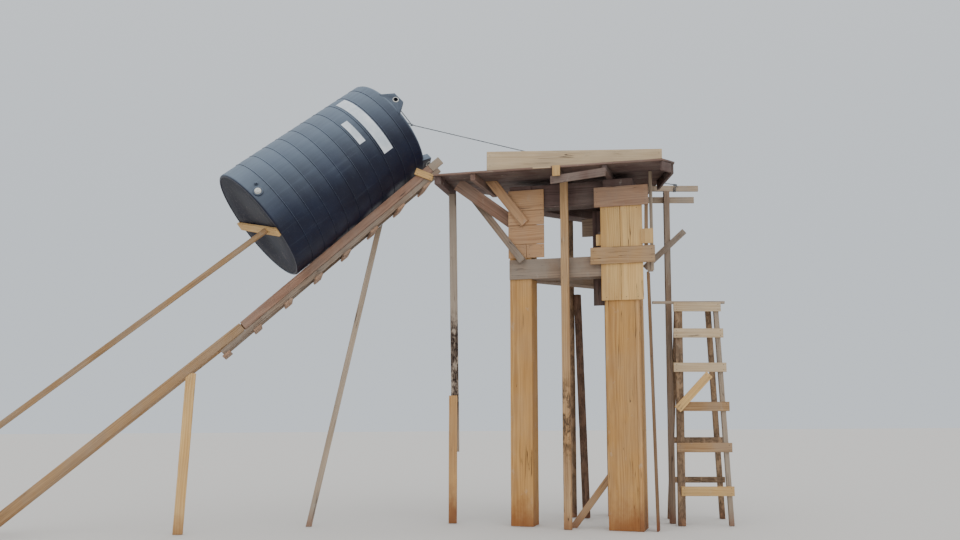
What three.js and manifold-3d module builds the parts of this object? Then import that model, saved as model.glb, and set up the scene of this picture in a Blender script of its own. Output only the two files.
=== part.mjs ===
// A water tower while its tank goes up: a three-legged concrete stand still in its board forms,
// a deck of planks, rough props and a trestle ladder, and a timber ramp with the ribbed plastic tank
// lying on it below the deck.
// Millimetres, +Z up. X runs along the ramp towards the tower.
// The origin is the middle of the left column's foot.
import * as THREE from "three";
import { mergeVertices } from "three/addons/utils/BufferGeometryUtils.js";
import Module from "manifold-3d";

const wasm = await Module();
wasm.setup();

// Driving dimensions
const gap = 0.3; // between pieces that touch
const board = 25; // thickness of a form board
const deckTop = 5200;
const deckBoard = 30;
const joistDeep = 100;
const joistWide = 75;
const deckBeamDeep = 325; // concrete of a deck beam
const tieBottom = 3660; // underside of the concrete of the tie beams
const tieTop = 3930;
const facadeTurn = -30; // degrees from X to the line from the left column to the right one

const deckSoffit = deckTop - deckBoard;
const beamTop = deckSoffit - joistDeep;
const beamBottom = beamTop - deckBeamDeep;

const columns = {
  left: { at: [0, 0], side: 340 },
  right: { at: [1306, -744], side: 440, packing: { thick: 60, high: 3600 } },
  rear: { at: [1794, 835], side: 340 },
};

// Corners of the deck in plan, round from the left corner where the ramp lands
const deckCorners = [
  [-1434, -135],
  [1565, -1742],
  [1825, -1592],
  [2450, 1500],
  [2250, 1720],
  [-1004, 809],
];

const ramp = {
  foot: -7410, // x where the top line of the upper rails would meet the ground
  lowerFoot: -7610, // and where that of the lower rails does
  climb: 42.2, // degrees
  railDeep: 130,
  railThick: 50,
  nearY: 0, // middle of the near rail
  farY: 500,
  head: -1340, // x of the upper end of the rails' top edge
  lap: -4194, // x where the lower timbers end
};

const tank = {
  baseRadius: 893,
  topRadius: 823,
  wallLong: 2497,
  shell: 14,
  ribs: 10,
  ribHigh: 12,
  ribWide: 50,
  firstRib: 285,
  ribPitch: 232,
  start: [-3369, 41], // the point on the ramp below the middle of the base
  skew: 7.3, // degrees that the tank lies askew on the rails
};

// Looks of the pieces
function paint(color, roughness, metalness = 0) {
  return new THREE.MeshStandardMaterial({ color, roughness, metalness });
}
const looks = {
  freshBoard: () => paint(0xc9a878, 0.8),
  tanBoard: () => paint(0xb98f5e, 0.82),
  greyBoard: () => paint(0x8c7f6e, 0.88),
  darkBoard: () => paint(0x5f4a40, 0.88),
  redBoard: () => paint(0x8f5f48, 0.86),
  bark: () => paint(0x6d5242, 0.92),
  concrete: () => paint(0x9a9890, 0.9),
  plastic: () => paint(0x171d1f, 0.45),
  white: () => paint(0xe6e6e0, 0.5),
  rope: () => paint(0x7d858c, 0.9),
};

// Vectors in plan
const radians = (degrees) => (degrees * Math.PI) / 180;
const along = (degrees) => [Math.cos(radians(degrees)), Math.sin(radians(degrees))];
const turnOf = ([x0, y0], [x1, y1]) => (Math.atan2(y1 - y0, x1 - x0) * 180) / Math.PI;
const facade = along(facadeTurn);
const outward = along(facadeTurn - 90); // out of the facade, towards the open side

// A point on the facade: how far right of the left column's axis, and how far out from it
function onFacade(right, out, z) {
  return [
    facade[0] * right + outward[0] * out,
    facade[1] * right + outward[1] * out,
    z,
  ];
}

// Solids

// A block from z to z + high, turned about Z and standing at a point in plan
function block({ at, turn = 0, long, wide, z, high, grow = 0 }) {
  const shape = new THREE.BoxGeometry(long + 2 * grow, wide + 2 * grow, high + 2 * grow);
  shape.rotateZ(radians(turn));
  shape.translate(at[0], at[1], z + high / 2);
  return shape;
}

// A straight timber with square ends; face is the way its broad side looks
function timber({ from, to, broad, thin, face, grow = 0 }) {
  const start = new THREE.Vector3(...from);
  const end = new THREE.Vector3(...to);
  const axis = end.clone().sub(start);
  const long = axis.length();
  axis.normalize();
  const side = new THREE.Vector3(...face).cross(axis).normalize();
  const normal = axis.clone().cross(side);
  const shape = new THREE.BoxGeometry(long + 2 * grow, broad + 2 * grow, thin + 2 * grow);
  const middle = start.add(end).multiplyScalar(0.5);
  shape.applyMatrix4(new THREE.Matrix4().makeBasis(axis, side, normal).setPosition(middle));
  return shape;
}

// A post with level ends that may lean: foot and head are the middles of its ends
function post({ foot, head, long, wide, turn = 0, grow = 0 }) {
  const [cos, sin] = along(turn);
  const high = head[2] - foot[2];
  const shape = new THREE.BoxGeometry(long + 2 * grow, wide + 2 * grow, 1 + (2 * grow) / high);
  shape.translate(0, 0, 0.5);
  const lean = [head[0] - foot[0], head[1] - foot[1], high];
  const basis = new THREE.Matrix4().makeBasis(
    new THREE.Vector3(cos, sin, 0),
    new THREE.Vector3(-sin, cos, 0),
    new THREE.Vector3(...lean),
  );
  shape.applyMatrix4(basis.setPosition(...foot));
  return shape;
}

// A level slab with an outline in plan
function slab(outline, z, high) {
  const shape = new THREE.Shape(outline.map(([x, y]) => new THREE.Vector2(x, y)));
  const solid = new THREE.ExtrudeGeometry(shape, { depth: high, bevelEnabled: false });
  return solid.translate(0, 0, z);
}

// A ring or disc turned about Z from a profile of [radius, height] points
function turned(profile, around = 48) {
  return new THREE.LatheGeometry(
    profile.map(([radius, high]) => new THREE.Vector2(radius, high)),
    around,
  ).rotateX(Math.PI / 2);
}

// Joining and cutting
function toSolid(geometry) {
  const bare = geometry.clone();
  bare.deleteAttribute("normal");
  bare.deleteAttribute("uv");
  const merged = mergeVertices(bare, 1e-4);
  return new wasm.Manifold(
    new wasm.Mesh({
      numProp: 3,
      vertProperties: new Float32Array(merged.attributes.position.array),
      triVerts: new Uint32Array(merged.index.array),
    }),
  );
}

function fromSolid(solid) {
  const mesh = solid.getMesh();
  const geometry = new THREE.BufferGeometry();
  geometry.setAttribute("position", new THREE.BufferAttribute(mesh.vertProperties, 3));
  geometry.setIndex(new THREE.BufferAttribute(mesh.triVerts, 1));
  return geometry;
}

function join(...geometries) {
  return fromSolid(geometries.map(toSolid).reduce((a, b) => a.add(b)));
}

function cut(geometry, ...tools) {
  return fromSolid(tools.map(toSolid).reduce((a, b) => a.subtract(b), toSolid(geometry)));
}

const root = new THREE.Group();

function add(name, geometry, look) {
  const mesh = new THREE.Mesh(geometry, look());
  mesh.name = name;
  root.add(mesh);
  return mesh;
}

// Concrete frame: three columns, the tie beams and the deck beams, cast in one
const coreSide = (column) => column.side - 2 * (board + gap);

function columnBlock(column, side, z, high, grow = 0) {
  return block({ at: column.at, turn: facadeTurn, long: side, wide: side, z, high, grow });
}

const beamWide = 250;
const troughWide = beamWide + 2 * (board + gap);
const runs = {
  front: [columns.left.at, columns.right.at],
  left: [columns.left.at, columns.rear.at],
  right: [columns.right.at, columns.rear.at],
};

const order = Object.keys(runs);

function beamBlock([from, to], wide, z, high, grow = 0) {
  const middle = [(from[0] + to[0]) / 2, (from[1] + to[1]) / 2];
  const long = Math.hypot(to[0] - from[0], to[1] - from[1]);
  return block({ at: middle, turn: turnOf(from, to), long, wide, z, high, grow });
}

const tieCores = Object.values(runs).map((run) => [run, tieBottom, tieTop - tieBottom]);
const deckCores = Object.values(runs).map((run) => [run, beamBottom, deckBeamDeep]);
const cores = [...tieCores, ...deckCores];
add(
  "concrete_frame",
  join(
    ...Object.values(columns).map((column) => columnBlock(column, coreSide(column), 0, beamTop)),
    ...cores.map(([run, z, high]) => beamBlock(run, beamWide, z, high)),
  ),
  looks.concrete,
);

// Column forms: four boards round each column, cut away where the beams run in, and a packing on one side
const packingSunk = 0.5;
for (const [name, column] of Object.entries(columns)) {
  const outside = columnBlock(column, column.side, 0, beamTop);
  const inside = columnBlock(column, column.side - 2 * board, -1, beamTop + 2);
  const beams = cores.map(([run, z, high]) => beamBlock(run, beamWide, z, high, gap));
  const parts = [cut(outside, inside, ...beams)];
  if (column.packing) {
    const { thick, high } = column.packing;
    const out = (column.side + thick) / 2 - packingSunk;
    const at = [column.at[0] + facade[0] * out, column.at[1] + facade[1] * out];
    parts.push(block({ at, turn: facadeTurn, long: thick, wide: column.side, z: 0, high }));
  }
  add(`${name}_column_form`, join(...parts), looks.tanBoard);
}

// Beam forms: a trough of three boards under and beside each beam, butted against the column forms
const columnTools = Object.values(columns).map((column) =>
  columnBlock(column, column.side, 0, beamTop + 1, gap),
);

function trough(run, z, high) {
  const outer = beamBlock(run, troughWide, z - board - gap, high + board + gap);
  const inner = beamBlock(run, beamWide + 2 * gap, z - gap, high + 2 * gap + 1);
  return cut(outer, inner);
}

// Where two troughs meet beside a column, each makes room for the other's concrete,
// and the later one is cut back
function mitred(side, z, high) {
  const rank = order.indexOf(side);
  const others = order.filter((other) => other !== side);
  const blocks = others.map((other) =>
    order.indexOf(other) < rank
      ? beamBlock(runs[other], troughWide, z - board - gap, high + board + gap, gap)
      : beamBlock(runs[other], beamWide, z, high, gap),
  );
  return cut(trough(runs[side], z, high), ...columnTools, ...blocks);
}

const levels = [
  { name: "tie", z: tieBottom, high: tieTop - tieBottom, look: looks.greyBoard },
  { name: "deck", z: beamBottom, high: deckBeamDeep, look: looks.darkBoard },
];
for (const level of levels)
  for (const side of order)
    add(`${side}_${level.name}_beam_form`, mitred(side, level.z, level.high), level.look);

// Wide boards on the fronts of the two front columns
const frontFace = columns.left.side / 2; // out from the facade line
const rightAt = Math.hypot(...columns.right.at);
const rightOut = columns.right.at[0] * outward[0] + columns.right.at[1] * outward[1];
const rightFace = rightOut + columns.right.side / 2;
const rightBack = rightOut - columns.right.side / 2;

function facadeBoard({ right, long, out, thick = board, z, high, grow = 0 }) {
  return block({
    at: onFacade(right, out + thick / 2, 0),
    turn: facadeTurn,
    long,
    wide: thick,
    z,
    high,
    grow,
  });
}

const leftHead = { right: 95, long: 560, out: frontFace + gap, z: 3955, high: 1045 };
add("left_head_boards", facadeBoard(leftHead), looks.tanBoard);

const tieFace = { right: 565, long: 1470, out: frontFace + gap, z: 3632, high: 300 };
const rightHead = { right: rightAt + 47, long: 615, out: rightFace + gap, z: 3265, high: 1400 };
add("right_head_boards", facadeBoard(rightHead), looks.freshBoard);
add(
  "front_tie_face_board",
  cut(
    facadeBoard(tieFace),
    facadeBoard({ ...rightHead, grow: gap }),
    columnBlock(columns.right, columns.right.side, 0, beamTop, gap),
  ),
  looks.greyBoard,
);

// A board on the back of the right column, that shows past its left edge
const backBoard = { right: rightAt - 310, long: 320, out: rightBack - gap - board, z: 3240, high: 1455 };
const [tieLevel] = levels;
add(
  "right_back_board",
  cut(
    facadeBoard(backBoard),
    beamBlock(runs.right, troughWide, tieLevel.z - board - gap, tieLevel.high + board + gap, gap),
  ),
  looks.darkBoard,
);

const collarOut = rightFace + board + 2 * gap;
const topCollar = { right: rightAt + 52, long: 800, out: collarOut, z: 4650, high: 300 };
const middleCollar = { right: rightAt + 59, long: 945, out: collarOut, z: 3800, high: 250 };
add("right_top_collar", facadeBoard(topCollar), looks.tanBoard);
add("right_middle_collar", facadeBoard(middleCollar), looks.greyBoard);

// Deck: joists across the beams, an end beam under the left edge, and planks
const deckEdge = along(turnOf(deckCorners[0], deckCorners[1]));
const inward = [-deckEdge[1], deckEdge[0]];

// Each joist starts a distance along the front edge and runs in from it
const joists = {
  left: { start: 615, from: 30, long: 1250 },
  middle: { start: 1890, from: 30, long: 1900 },
  right: { start: 2580, from: 30, long: 2750 },
};

function joistBlock(name) {
  const { start, from, long } = joists[name];
  const at = [
    deckCorners[0][0] + deckEdge[0] * start + inward[0] * (from + long / 2),
    deckCorners[0][1] + deckEdge[1] * start + inward[1] * (from + long / 2),
  ];
  const high = joistDeep - 2 * gap;
  return { at, turn: turnOf([0, 0], inward), long, wide: joistWide, z: beamTop + gap, high };
}
for (const name of Object.keys(joists))
  add(`${name}_deck_joist`, block(joistBlock(name)), looks.darkBoard);

const endBeam = { thick: 100, deep: 120, inset: [56, -25], short: 60 };
const leftEdgeTurn = turnOf(deckCorners[0], deckCorners[5]);
const leftEdgeLong = Math.hypot(
  deckCorners[5][0] - deckCorners[0][0],
  deckCorners[5][1] - deckCorners[0][1],
);
const leftEdgeMiddle = [
  (deckCorners[0][0] + deckCorners[5][0]) / 2 + endBeam.inset[0],
  (deckCorners[0][1] + deckCorners[5][1]) / 2 + endBeam.inset[1],
];
add(
  "deck_end_beam",
  block({
    at: leftEdgeMiddle,
    turn: leftEdgeTurn,
    long: leftEdgeLong - endBeam.short,
    wide: endBeam.thick,
    z: deckSoffit - endBeam.deep,
    high: endBeam.deep - gap,
  }),
  looks.darkBoard,
);

const split = [
  [950, -1412],
  [1100, 1398],
]; // the joint between the two halves of the planking, from front to rear
add(
  "deck_planks_left",
  slab([deckCorners[0], split[0], split[1], deckCorners[5]], deckSoffit, deckBoard),
  looks.darkBoard,
);
const splitGap = [1, 0.5]; // how far the right half stands off it
add(
  "deck_planks_right",
  slab(
    [
      [split[0][0] + splitGap[0], split[0][1] - splitGap[1]],
      deckCorners[1],
      deckCorners[2],
      deckCorners[3],
      deckCorners[4],
      [split[1][0] + splitGap[0], split[1][1] + splitGap[1] / 2],
    ],
    deckSoffit,
    deckBoard,
  ),
  looks.darkBoard,
);

// Upstands: boards on edge on the deck
function upstand(from, to) {
  const at = [(from[0] + to[0]) / 2, (from[1] + to[1]) / 2];
  const long = Math.hypot(to[0] - from[0], to[1] - from[1]);
  return block({ at, turn: turnOf(from, to), long, wide: board, z: deckTop + gap, high: upstands.high });
}
const upstands = {
  high: 290,
  front: [[-683, -500], [1800, -1200]],
  side: [[-672, -490], [-560, -140]], // runs back from the front one's left end
  rear: [[-300, 900], [2180, 1560]],
};
add("front_upstand", join(upstand(...upstands.front), upstand(...upstands.side)), looks.freshBoard);
add("rear_upstand", upstand(...upstands.rear), looks.freshBoard);

// Needle board out over the right post, and the board below it
const postAt = [2200, -270];
const needleTurn = -12;
const needleWay = along(needleTurn);
function beside(run, out, z) {
  return [
    postAt[0] + needleWay[0] * run - needleWay[1] * out,
    postAt[1] + needleWay[1] * run + needleWay[0] * out,
    z,
  ];
}
const acrossNeedle = [-needleWay[1], needleWay[0], 0];
const needle = { from: -560, to: 545, broad: 90, thin: 50 };
const needleZ = beamTop + gap + needle.broad / 2;
add(
  "needle_board",
  timber({
    ...needle,
    from: beside(needle.from, 0, needleZ),
    to: beside(needle.to, 0, needleZ),
    face: acrossNeedle,
  }),
  looks.tanBoard,
);
const postThick = 90;
const lowerNeedle = { from: -570, to: 490, z: 4945, broad: 100, thin: 30 };
const besidePost = postThick / 2 + gap + lowerNeedle.thin / 2;
add(
  "lower_needle_board",
  cut(
    timber({
      ...lowerNeedle,
      from: beside(lowerNeedle.from, besidePost, lowerNeedle.z),
      to: beside(lowerNeedle.to, besidePost, lowerNeedle.z),
      face: acrossNeedle,
    }),
    beamBlock(runs.right, troughWide, beamBottom, deckBeamDeep, gap),
  ),
  looks.greyBoard,
);
add(
  "right_post",
  post({
    foot: beside(9, 0, 0),
    head: beside(45, 0, beamTop),
    long: postThick,
    wide: postThick,
    turn: needleTurn,
  }),
  looks.greyBoard,
);

// Props
const middleProp = { right: 716, out: 300 };
add(
  "middle_prop",
  post({
    foot: onFacade(middleProp.right, middleProp.out, 0),
    head: onFacade(middleProp.right, middleProp.out, beamTop - gap),
    long: 120,
    wide: 60,
    turn: facadeTurn,
  }),
  looks.tanBoard,
);
const leftProp = { turn: -12, lowerY: 428.6, upperY: 470.6 }; // two lengths, lapped side by side
add(
  "left_prop_lower",
  post({
    foot: [-1008, leftProp.lowerY, 0],
    head: [-1008, leftProp.lowerY, 1900],
    long: 130,
    wide: 45,
    turn: leftProp.turn,
  }),
  looks.freshBoard,
);
add(
  "left_prop_upper",
  post({
    foot: [-960, leftProp.upperY, 1050],
    head: [-1022, leftProp.upperY, deckSoffit - endBeam.deep - gap],
    long: 122,
    wide: 50,
    turn: leftProp.turn,
  }),
  looks.bark,
);

// Ramp: two rails on edge in lapped lengths
const climb = radians(ramp.climb);
const rise = Math.tan(climb);
const railTopAt = (x) => (x - ramp.foot) * rise;

// The lower lengths lie a little flatter than the upper ones: they meet at the lap
const upperLine = { foot: ramp.foot, angle: climb };
const lowerLine = {
  foot: ramp.lowerFoot,
  angle: Math.atan2(railTopAt(ramp.lap), ramp.lap - ramp.lowerFoot),
};

// A slanted timber along a line of the ramp: below says how far under that line its own top lies
function slanted({ line = upperLine, from, to, below, deep, y, thick, grow = 0, level = false }) {
  const slope = Math.tan(line.angle);
  const drop = 1 / Math.cos(line.angle);
  const top = (x) => (x - line.foot) * slope - below * drop + grow * drop;
  const bottom = (x) => (x - line.foot) * slope - (below + deep) * drop - grow * drop;
  const lean = (deep + 2 * grow) * Math.sin(line.angle); // the end cuts are square to the slope
  let corners;
  if (level) {
    const groundTop = line.foot + (below * drop) / slope;
    const groundBottom = line.foot + ((below + deep) * drop) / slope;
    corners = [
      [groundTop, 0],
      [groundBottom, 0],
      [to + lean, bottom(to + lean)],
      [to, top(to)],
    ];
  } else
    corners = [
      [from, top(from)],
      [from + lean, bottom(from + lean)],
      [to + lean, bottom(to + lean)],
      [to, top(to)],
    ];
  const shape = new THREE.Shape(corners.map(([x, z]) => new THREE.Vector2(x, z)));
  const solid = new THREE.ExtrudeGeometry(shape, { depth: thick + 2 * grow, bevelEnabled: false });
  solid.rotateX(Math.PI / 2); // the outline's up becomes Z, and its depth runs towards -Y
  return solid.translate(0, y + thick / 2 + grow, 0);
}

const deckTool = slab(deckCorners, deckSoffit - gap, deckBoard + 2 * gap);
const rails = {
  near: { y: ramp.nearY, lapSide: -1 },
  far: { y: ramp.farY, lapSide: 1 },
};
const lapLong = 350;
const lapGap = 8; // between the ends of the two lengths, as they aren't in one line
const lowerTools = [];
for (const [name, rail] of Object.entries(rails)) {
  const lower = {
    line: lowerLine,
    from: 0,
    to: ramp.lap,
    below: 0,
    deep: ramp.railDeep,
    y: rail.y,
    thick: ramp.railThick,
    level: true,
  };
  add(`${name}_rail_lower`, slanted(lower), looks.tanBoard);
  lowerTools.push(slanted({ ...lower, grow: gap }));
  const upper = {
    from: ramp.lap + lapGap,
    to: ramp.head,
    below: 0,
    deep: ramp.railDeep,
    y: rail.y,
    thick: ramp.railThick,
  };
  add(`${name}_rail_upper`, cut(slanted(upper), deckTool), looks.redBoard);
  const splice = {
    from: ramp.lap - lapLong,
    to: ramp.lap + lapLong,
    below: 20,
    deep: 100,
    y: rail.y + rail.lapSide * -1 * (ramp.railThick + gap),
    thick: ramp.railThick,
  };
  if (name === "near") add("near_rail_splice", slanted(splice), looks.tanBoard);
}

// Chord boards along the undersides of the rails, and the cleats nailed across below them
const cleatThick = 40;
const cleatWide = 100;
const cleatPast = 80; // how far they run past the middles of the rails
const cleatX = [-4362, -3946, -3521, -3102, -2702, -2310, -1911, -1530];
const chord = { from: -4440, to: ramp.head, below: ramp.railDeep + gap, deep: 75 };
const sunk = 0.5; // the cleats are drawn into the chords, so that they join
const lattice = [];
const cleatTools = [];
for (const y of [ramp.nearY, ramp.farY])
  lattice.push(slanted({ ...chord, y, thick: ramp.railThick }));
for (const x of cleatX) {
  const cleat = {
    from: x - cleatWide / 2,
    to: x + cleatWide / 2,
    below: chord.below + chord.deep - sunk,
    deep: cleatThick + sunk,
    y: (ramp.nearY + ramp.farY) / 2,
    thick: ramp.farY - ramp.nearY + 2 * cleatPast,
  };
  lattice.push(slanted(cleat));
  cleatTools.push(slanted({ ...cleat, grow: gap }));
}
add("ramp_cleats_and_chords", cut(join(...lattice), deckTool, ...lowerTools), looks.tanBoard);

// A board nailed over the near rail's head, that hooks the ramp onto the deck
const headCleat = { left: [-1690, 5254], right: [-1420, 5160], broad: 105, thin: 30 };
const headCleatY = ramp.nearY - ramp.railThick / 2 - gap - headCleat.thin / 2;
add(
  "ramp_head_cleat",
  timber({
    ...headCleat,
    from: [headCleat.left[0], headCleatY, headCleat.left[1]],
    to: [headCleat.right[0], headCleatY, headCleat.right[1]],
    face: [0, 1, 0],
  }),
  looks.freshBoard,
);

// Timbers that stand under the ramp, cut to its slope
const clearAbove = 1500;
function underRamp(shape, line, y, below) {
  const above = slanted({
    line,
    from: -9000,
    to: 0,
    below: -clearAbove,
    deep: below + clearAbove,
    y,
    thick: 80,
    grow: gap,
  });
  return cut(shape, above);
}
add(
  "ramp_post",
  underRamp(
    post({ foot: [-4915, ramp.nearY, 0], head: [-4825, ramp.nearY, 2200], long: 140, wide: 45 }),
    lowerLine,
    ramp.nearY,
    ramp.railDeep,
  ),
  looks.freshBoard,
);
add(
  "ramp_raking_prop",
  cut(
    underRamp(
      post({ foot: [-3130, ramp.farY, 0], head: [-2140, ramp.farY, 4600], long: 90, wide: 45 }),
      upperLine,
      ramp.farY,
      chord.below + chord.deep,
    ),
    ...cleatTools,
  ),
  looks.greyBoard,
);

// Tank: lies along the rails on its ribs
const nearEdge = ramp.nearY + ramp.railThick / 2;
const farEdge = ramp.farY - ramp.railThick / 2;
const radiusAt = (s) =>
  tank.baseRadius - ((tank.baseRadius - tank.topRadius) * s) / tank.wallLong;
const ribAt = (index) => tank.firstRib + index * tank.ribPitch;
const lowLineAt = (s) => tank.start[1] + s * Math.sin(radians(tank.skew));
const sagTo = (radius, off) => Math.sqrt(radius ** 2 - off ** 2);
const crest = (index) => radiusAt(ribAt(index)) + tank.ribHigh;
const lastRib = tank.ribs - 1;
const firstSag = sagTo(crest(0), lowLineAt(ribAt(0)) - nearEdge); // the first rib rests on the near rail
// the last one on the far rail
const lastSag = sagTo(crest(lastRib), farEdge - lowLineAt(ribAt(lastRib)));
const nod = Math.asin((firstSag - lastSag) / (ribAt(lastRib) - ribAt(0)));

// Degrees about the tank's axis from the side that lies on the ramp, as a turn of a piece made
// at local +Y
const meridian = (angle) => -90 - angle;

// The wall's profile: outside with its ribs, then back down the plain inside
const footRound = 25; // how far the wall's foot turns in
function wallProfile() {
  const outside = [[tank.baseRadius - footRound, 0], [tank.baseRadius, footRound]];
  const half = tank.ribWide / 2;
  for (let index = 0; index < tank.ribs; index++) {
    const s = ribAt(index);
    outside.push([radiusAt(s - half), s - half]);
    outside.push([crest(index), s - half / 2]);
    outside.push([crest(index), s + half / 2]);
    outside.push([radiusAt(s + half), s + half]);
  }
  outside.push([tank.topRadius, tank.wallLong]);
  const inside = [
    [tank.topRadius - tank.shell, tank.wallLong],
    [tank.baseRadius - tank.shell - footRound, footRound],
    [tank.baseRadius - tank.shell - footRound, 0],
  ];
  return [...outside, ...inside, outside[0]];
}

const tankGroup = new THREE.Group();
const tilt = climb - nod;
const facetSag = 1.3; // how far the flats between the ribs' corners lie inside their circle
const lift = ribAt(0) * Math.sin(nod) + firstSag * Math.cos(nod) - facetSag;
const rampUp = new THREE.Vector3(-Math.sin(climb), 0, Math.cos(climb)); // square to the ramp
tankGroup.position
  .set(tank.start[0], tank.start[1], railTopAt(tank.start[0]))
  .addScaledVector(rampUp, lift);
tankGroup.quaternion
  .setFromAxisAngle(new THREE.Vector3(0, 1, 0), Math.PI / 2 - tilt) // local Z becomes the tank's axis
  .premultiply(new THREE.Quaternion().setFromAxisAngle(rampUp, radians(tank.skew)));
root.add(tankGroup);

function addToTank(name, geometry, look) {
  const mesh = new THREE.Mesh(geometry, look());
  mesh.name = name;
  tankGroup.add(mesh);
  return mesh;
}

addToTank("tank_wall", turned(wallProfile()), looks.plastic);
const floorRadius = tank.baseRadius - tank.shell - footRound - gap;
const baseDish = { rim: 6, middle: 22, thick: 16, border: 120 }; // heights above the wall's lower edge
addToTank(
  "tank_base",
  turned([
    [0, baseDish.middle],
    [floorRadius - baseDish.border, baseDish.rim],
    [floorRadius, baseDish.rim],
    [floorRadius, baseDish.rim + baseDish.thick],
    [floorRadius - baseDish.border + 10, baseDish.rim + baseDish.thick],
    [0, baseDish.middle + baseDish.thick],
    [0, baseDish.middle],
  ]),
  looks.plastic,
);
const roofStart = tank.wallLong + gap;
const roofRise = 150;
const neckRadius = 240;
const neckHigh = 60;

// The dome from its rim to the neck: a rounded shoulder, then a shallow cone
function domeLine(inset) {
  return [
    [tank.topRadius - inset, roofStart],
    [tank.topRadius - 12 - inset, roofStart + 30],
    [tank.topRadius - 45 - inset, roofStart + 55 - inset * 0.8],
    [neckRadius - inset, roofStart + roofRise - inset * 0.8],
  ];
}
const neckTop = roofStart + roofRise + neckHigh;
const domeProfile = [
  ...domeLine(0),
  [neckRadius, neckTop],
  [neckRadius - tank.shell, neckTop],
  ...domeLine(tank.shell).reverse(),
  domeLine(0)[0],
];

// Lifting ears moulded on the shoulder, each with an eye for a rope
const ear = {
  angles: [14, 104, 194, 284],
  wide: 440,
  topWide: 200,
  thick: 100,
  high: 195,
  radius: 755,
  eye: 34,
  up: 128,
};

function earBlock(angle) {
  const half = ear.wide / 2;
  const topHalf = ear.topWide / 2;
  const outline = new THREE.Shape(
    [[-half, 0], [half, 0], [topHalf, ear.high], [-topHalf, ear.high]].map(
      ([x, z]) => new THREE.Vector2(x, z),
    ),
  );
  outline.holes.push(new THREE.Path().absarc(0, ear.up, ear.eye, 0, Math.PI * 2, true));
  const shape = new THREE.ExtrudeGeometry(outline, {
    depth: ear.thick,
    bevelEnabled: false,
    curveSegments: 6,
  });
  shape.rotateX(Math.PI / 2);
  shape.translate(0, ear.thick / 2 + ear.radius, roofStart);
  return shape.rotateZ(radians(meridian(angle)));
}

// The hollow under the dome, which the ears don't reach into
const domeInside = turned([
  [0, roofStart - 1],
  ...domeLine(tank.shell),
  [0, roofStart + roofRise - 20],
  [0, roofStart - 1],
]);
const ears = ear.angles.map((angle) => cut(earBlock(angle), domeInside));
addToTank("tank_roof", join(turned(domeProfile), ...ears), looks.plastic);

const lid = { start: neckTop + gap, radius: neckRadius + 20, rim: 30, flat: neckRadius - 40, high: 55 };
addToTank(
  "tank_lid",
  turned([
    [0, lid.start],
    [lid.radius, lid.start],
    [lid.radius, lid.start + lid.rim],
    [lid.flat, lid.start + lid.high - 5],
    [0, lid.start + lid.high],
    [0, lid.start],
  ]),
  looks.plastic,
);

// Outlet near the foot of the wall, closed by a plug
const outlet = { along: 112, angle: 106.5, radius: 48, long: 40, off: 1.6 };

// its axis is Y
const outletPlug = new THREE.CylinderGeometry(outlet.radius, outlet.radius, outlet.long, 24);
outletPlug.translate(0, radiusAt(outlet.along) + outlet.off + outlet.long / 2, outlet.along);
addToTank("tank_outlet", outletPlug.rotateZ(radians(meridian(outlet.angle))), looks.white);

// Rope: two legs from the ears to a knot, and the line over the deck to the needle board
const ropeThick = 20;

function tube(points) {
  const path = new THREE.CurvePath();
  for (let index = 1; index < points.length; index++)
    path.add(
      new THREE.LineCurve3(
        new THREE.Vector3(...points[index - 1]),
        new THREE.Vector3(...points[index]),
      ),
    );
  const section = new THREE.Shape().absarc(0, 0, ropeThick / 2, 0, Math.PI * 2);
  return new THREE.ExtrudeGeometry(section, { steps: 1, extrudePath: path, curveSegments: 4 });
}

// Struts from the left column up to the deck's left end
const strutOut = frontFace + board + 2 * gap;
const soffitTool = block({ at: [0, 0], long: 9000, wide: 9000, z: deckSoffit, high: 500, grow: gap });
const leftJoist = joistBlock("left");
const clearLeft = 400; // what shows past the joist's far side goes too
const leftJoistTool = block({
  ...leftJoist,
  at: [0, 1].map((axis) => leftJoist.at[axis] - (deckEdge[axis] * clearLeft) / 2),
  wide: joistWide + clearLeft,
  grow: gap,
});
add(
  "front_strut",
  cut(
    timber({
      from: onFacade(88, strutOut + 25, 4480),
      to: onFacade(-515, strutOut + 25, 5260),
      broad: 150,
      thin: 50,
      face: [...outward, 0],
    }),
    soffitTool,
    leftJoistTool,
  ),
  looks.tanBoard,
);
const leftColumnTool = columnBlock(columns.left, columns.left.side, 0, beamTop, gap);
add(
  "wide_strut",
  cut(
    timber({
      from: [-100, 40, 4500],
      to: [-1000, 150, 5130],
      broad: 200,
      thin: 45,
      face: [0.2, 0.9, 0.1],
    }),
    soffitTool,
    leftColumnTool,
  ),
  looks.redBoard,
);
add(
  "grey_strut",
  cut(
    timber({
      from: onFacade(55, strutOut + 62, 3900),
      to: [-860, 510, 5220],
      broad: 110,
      thin: 40,
      face: [...outward, 0],
    }),
    soffitTool,
    leftColumnTool,
    facadeBoard({ ...leftHead, grow: gap }),
    facadeBoard({ ...tieFace, grow: gap }),
  ),
  looks.greyBoard,
);

// Ledger board under the front of the deck
const ledger = { from: [182, -894], to: [790, -1550], broad: 120, thin: 30 };
const ledgerZ = beamTop - gap - ledger.broad / 2;
add(
  "deck_ledger",
  cut(
    timber({
      from: [...ledger.from, ledgerZ],
      to: [...ledger.to, ledgerZ],
      broad: ledger.broad,
      thin: ledger.thin,
      face: [0.73, 0.68, 0],
    }),
    facadeBoard({ ...topCollar, grow: gap }),
  ),
  looks.tanBoard,
);

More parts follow.
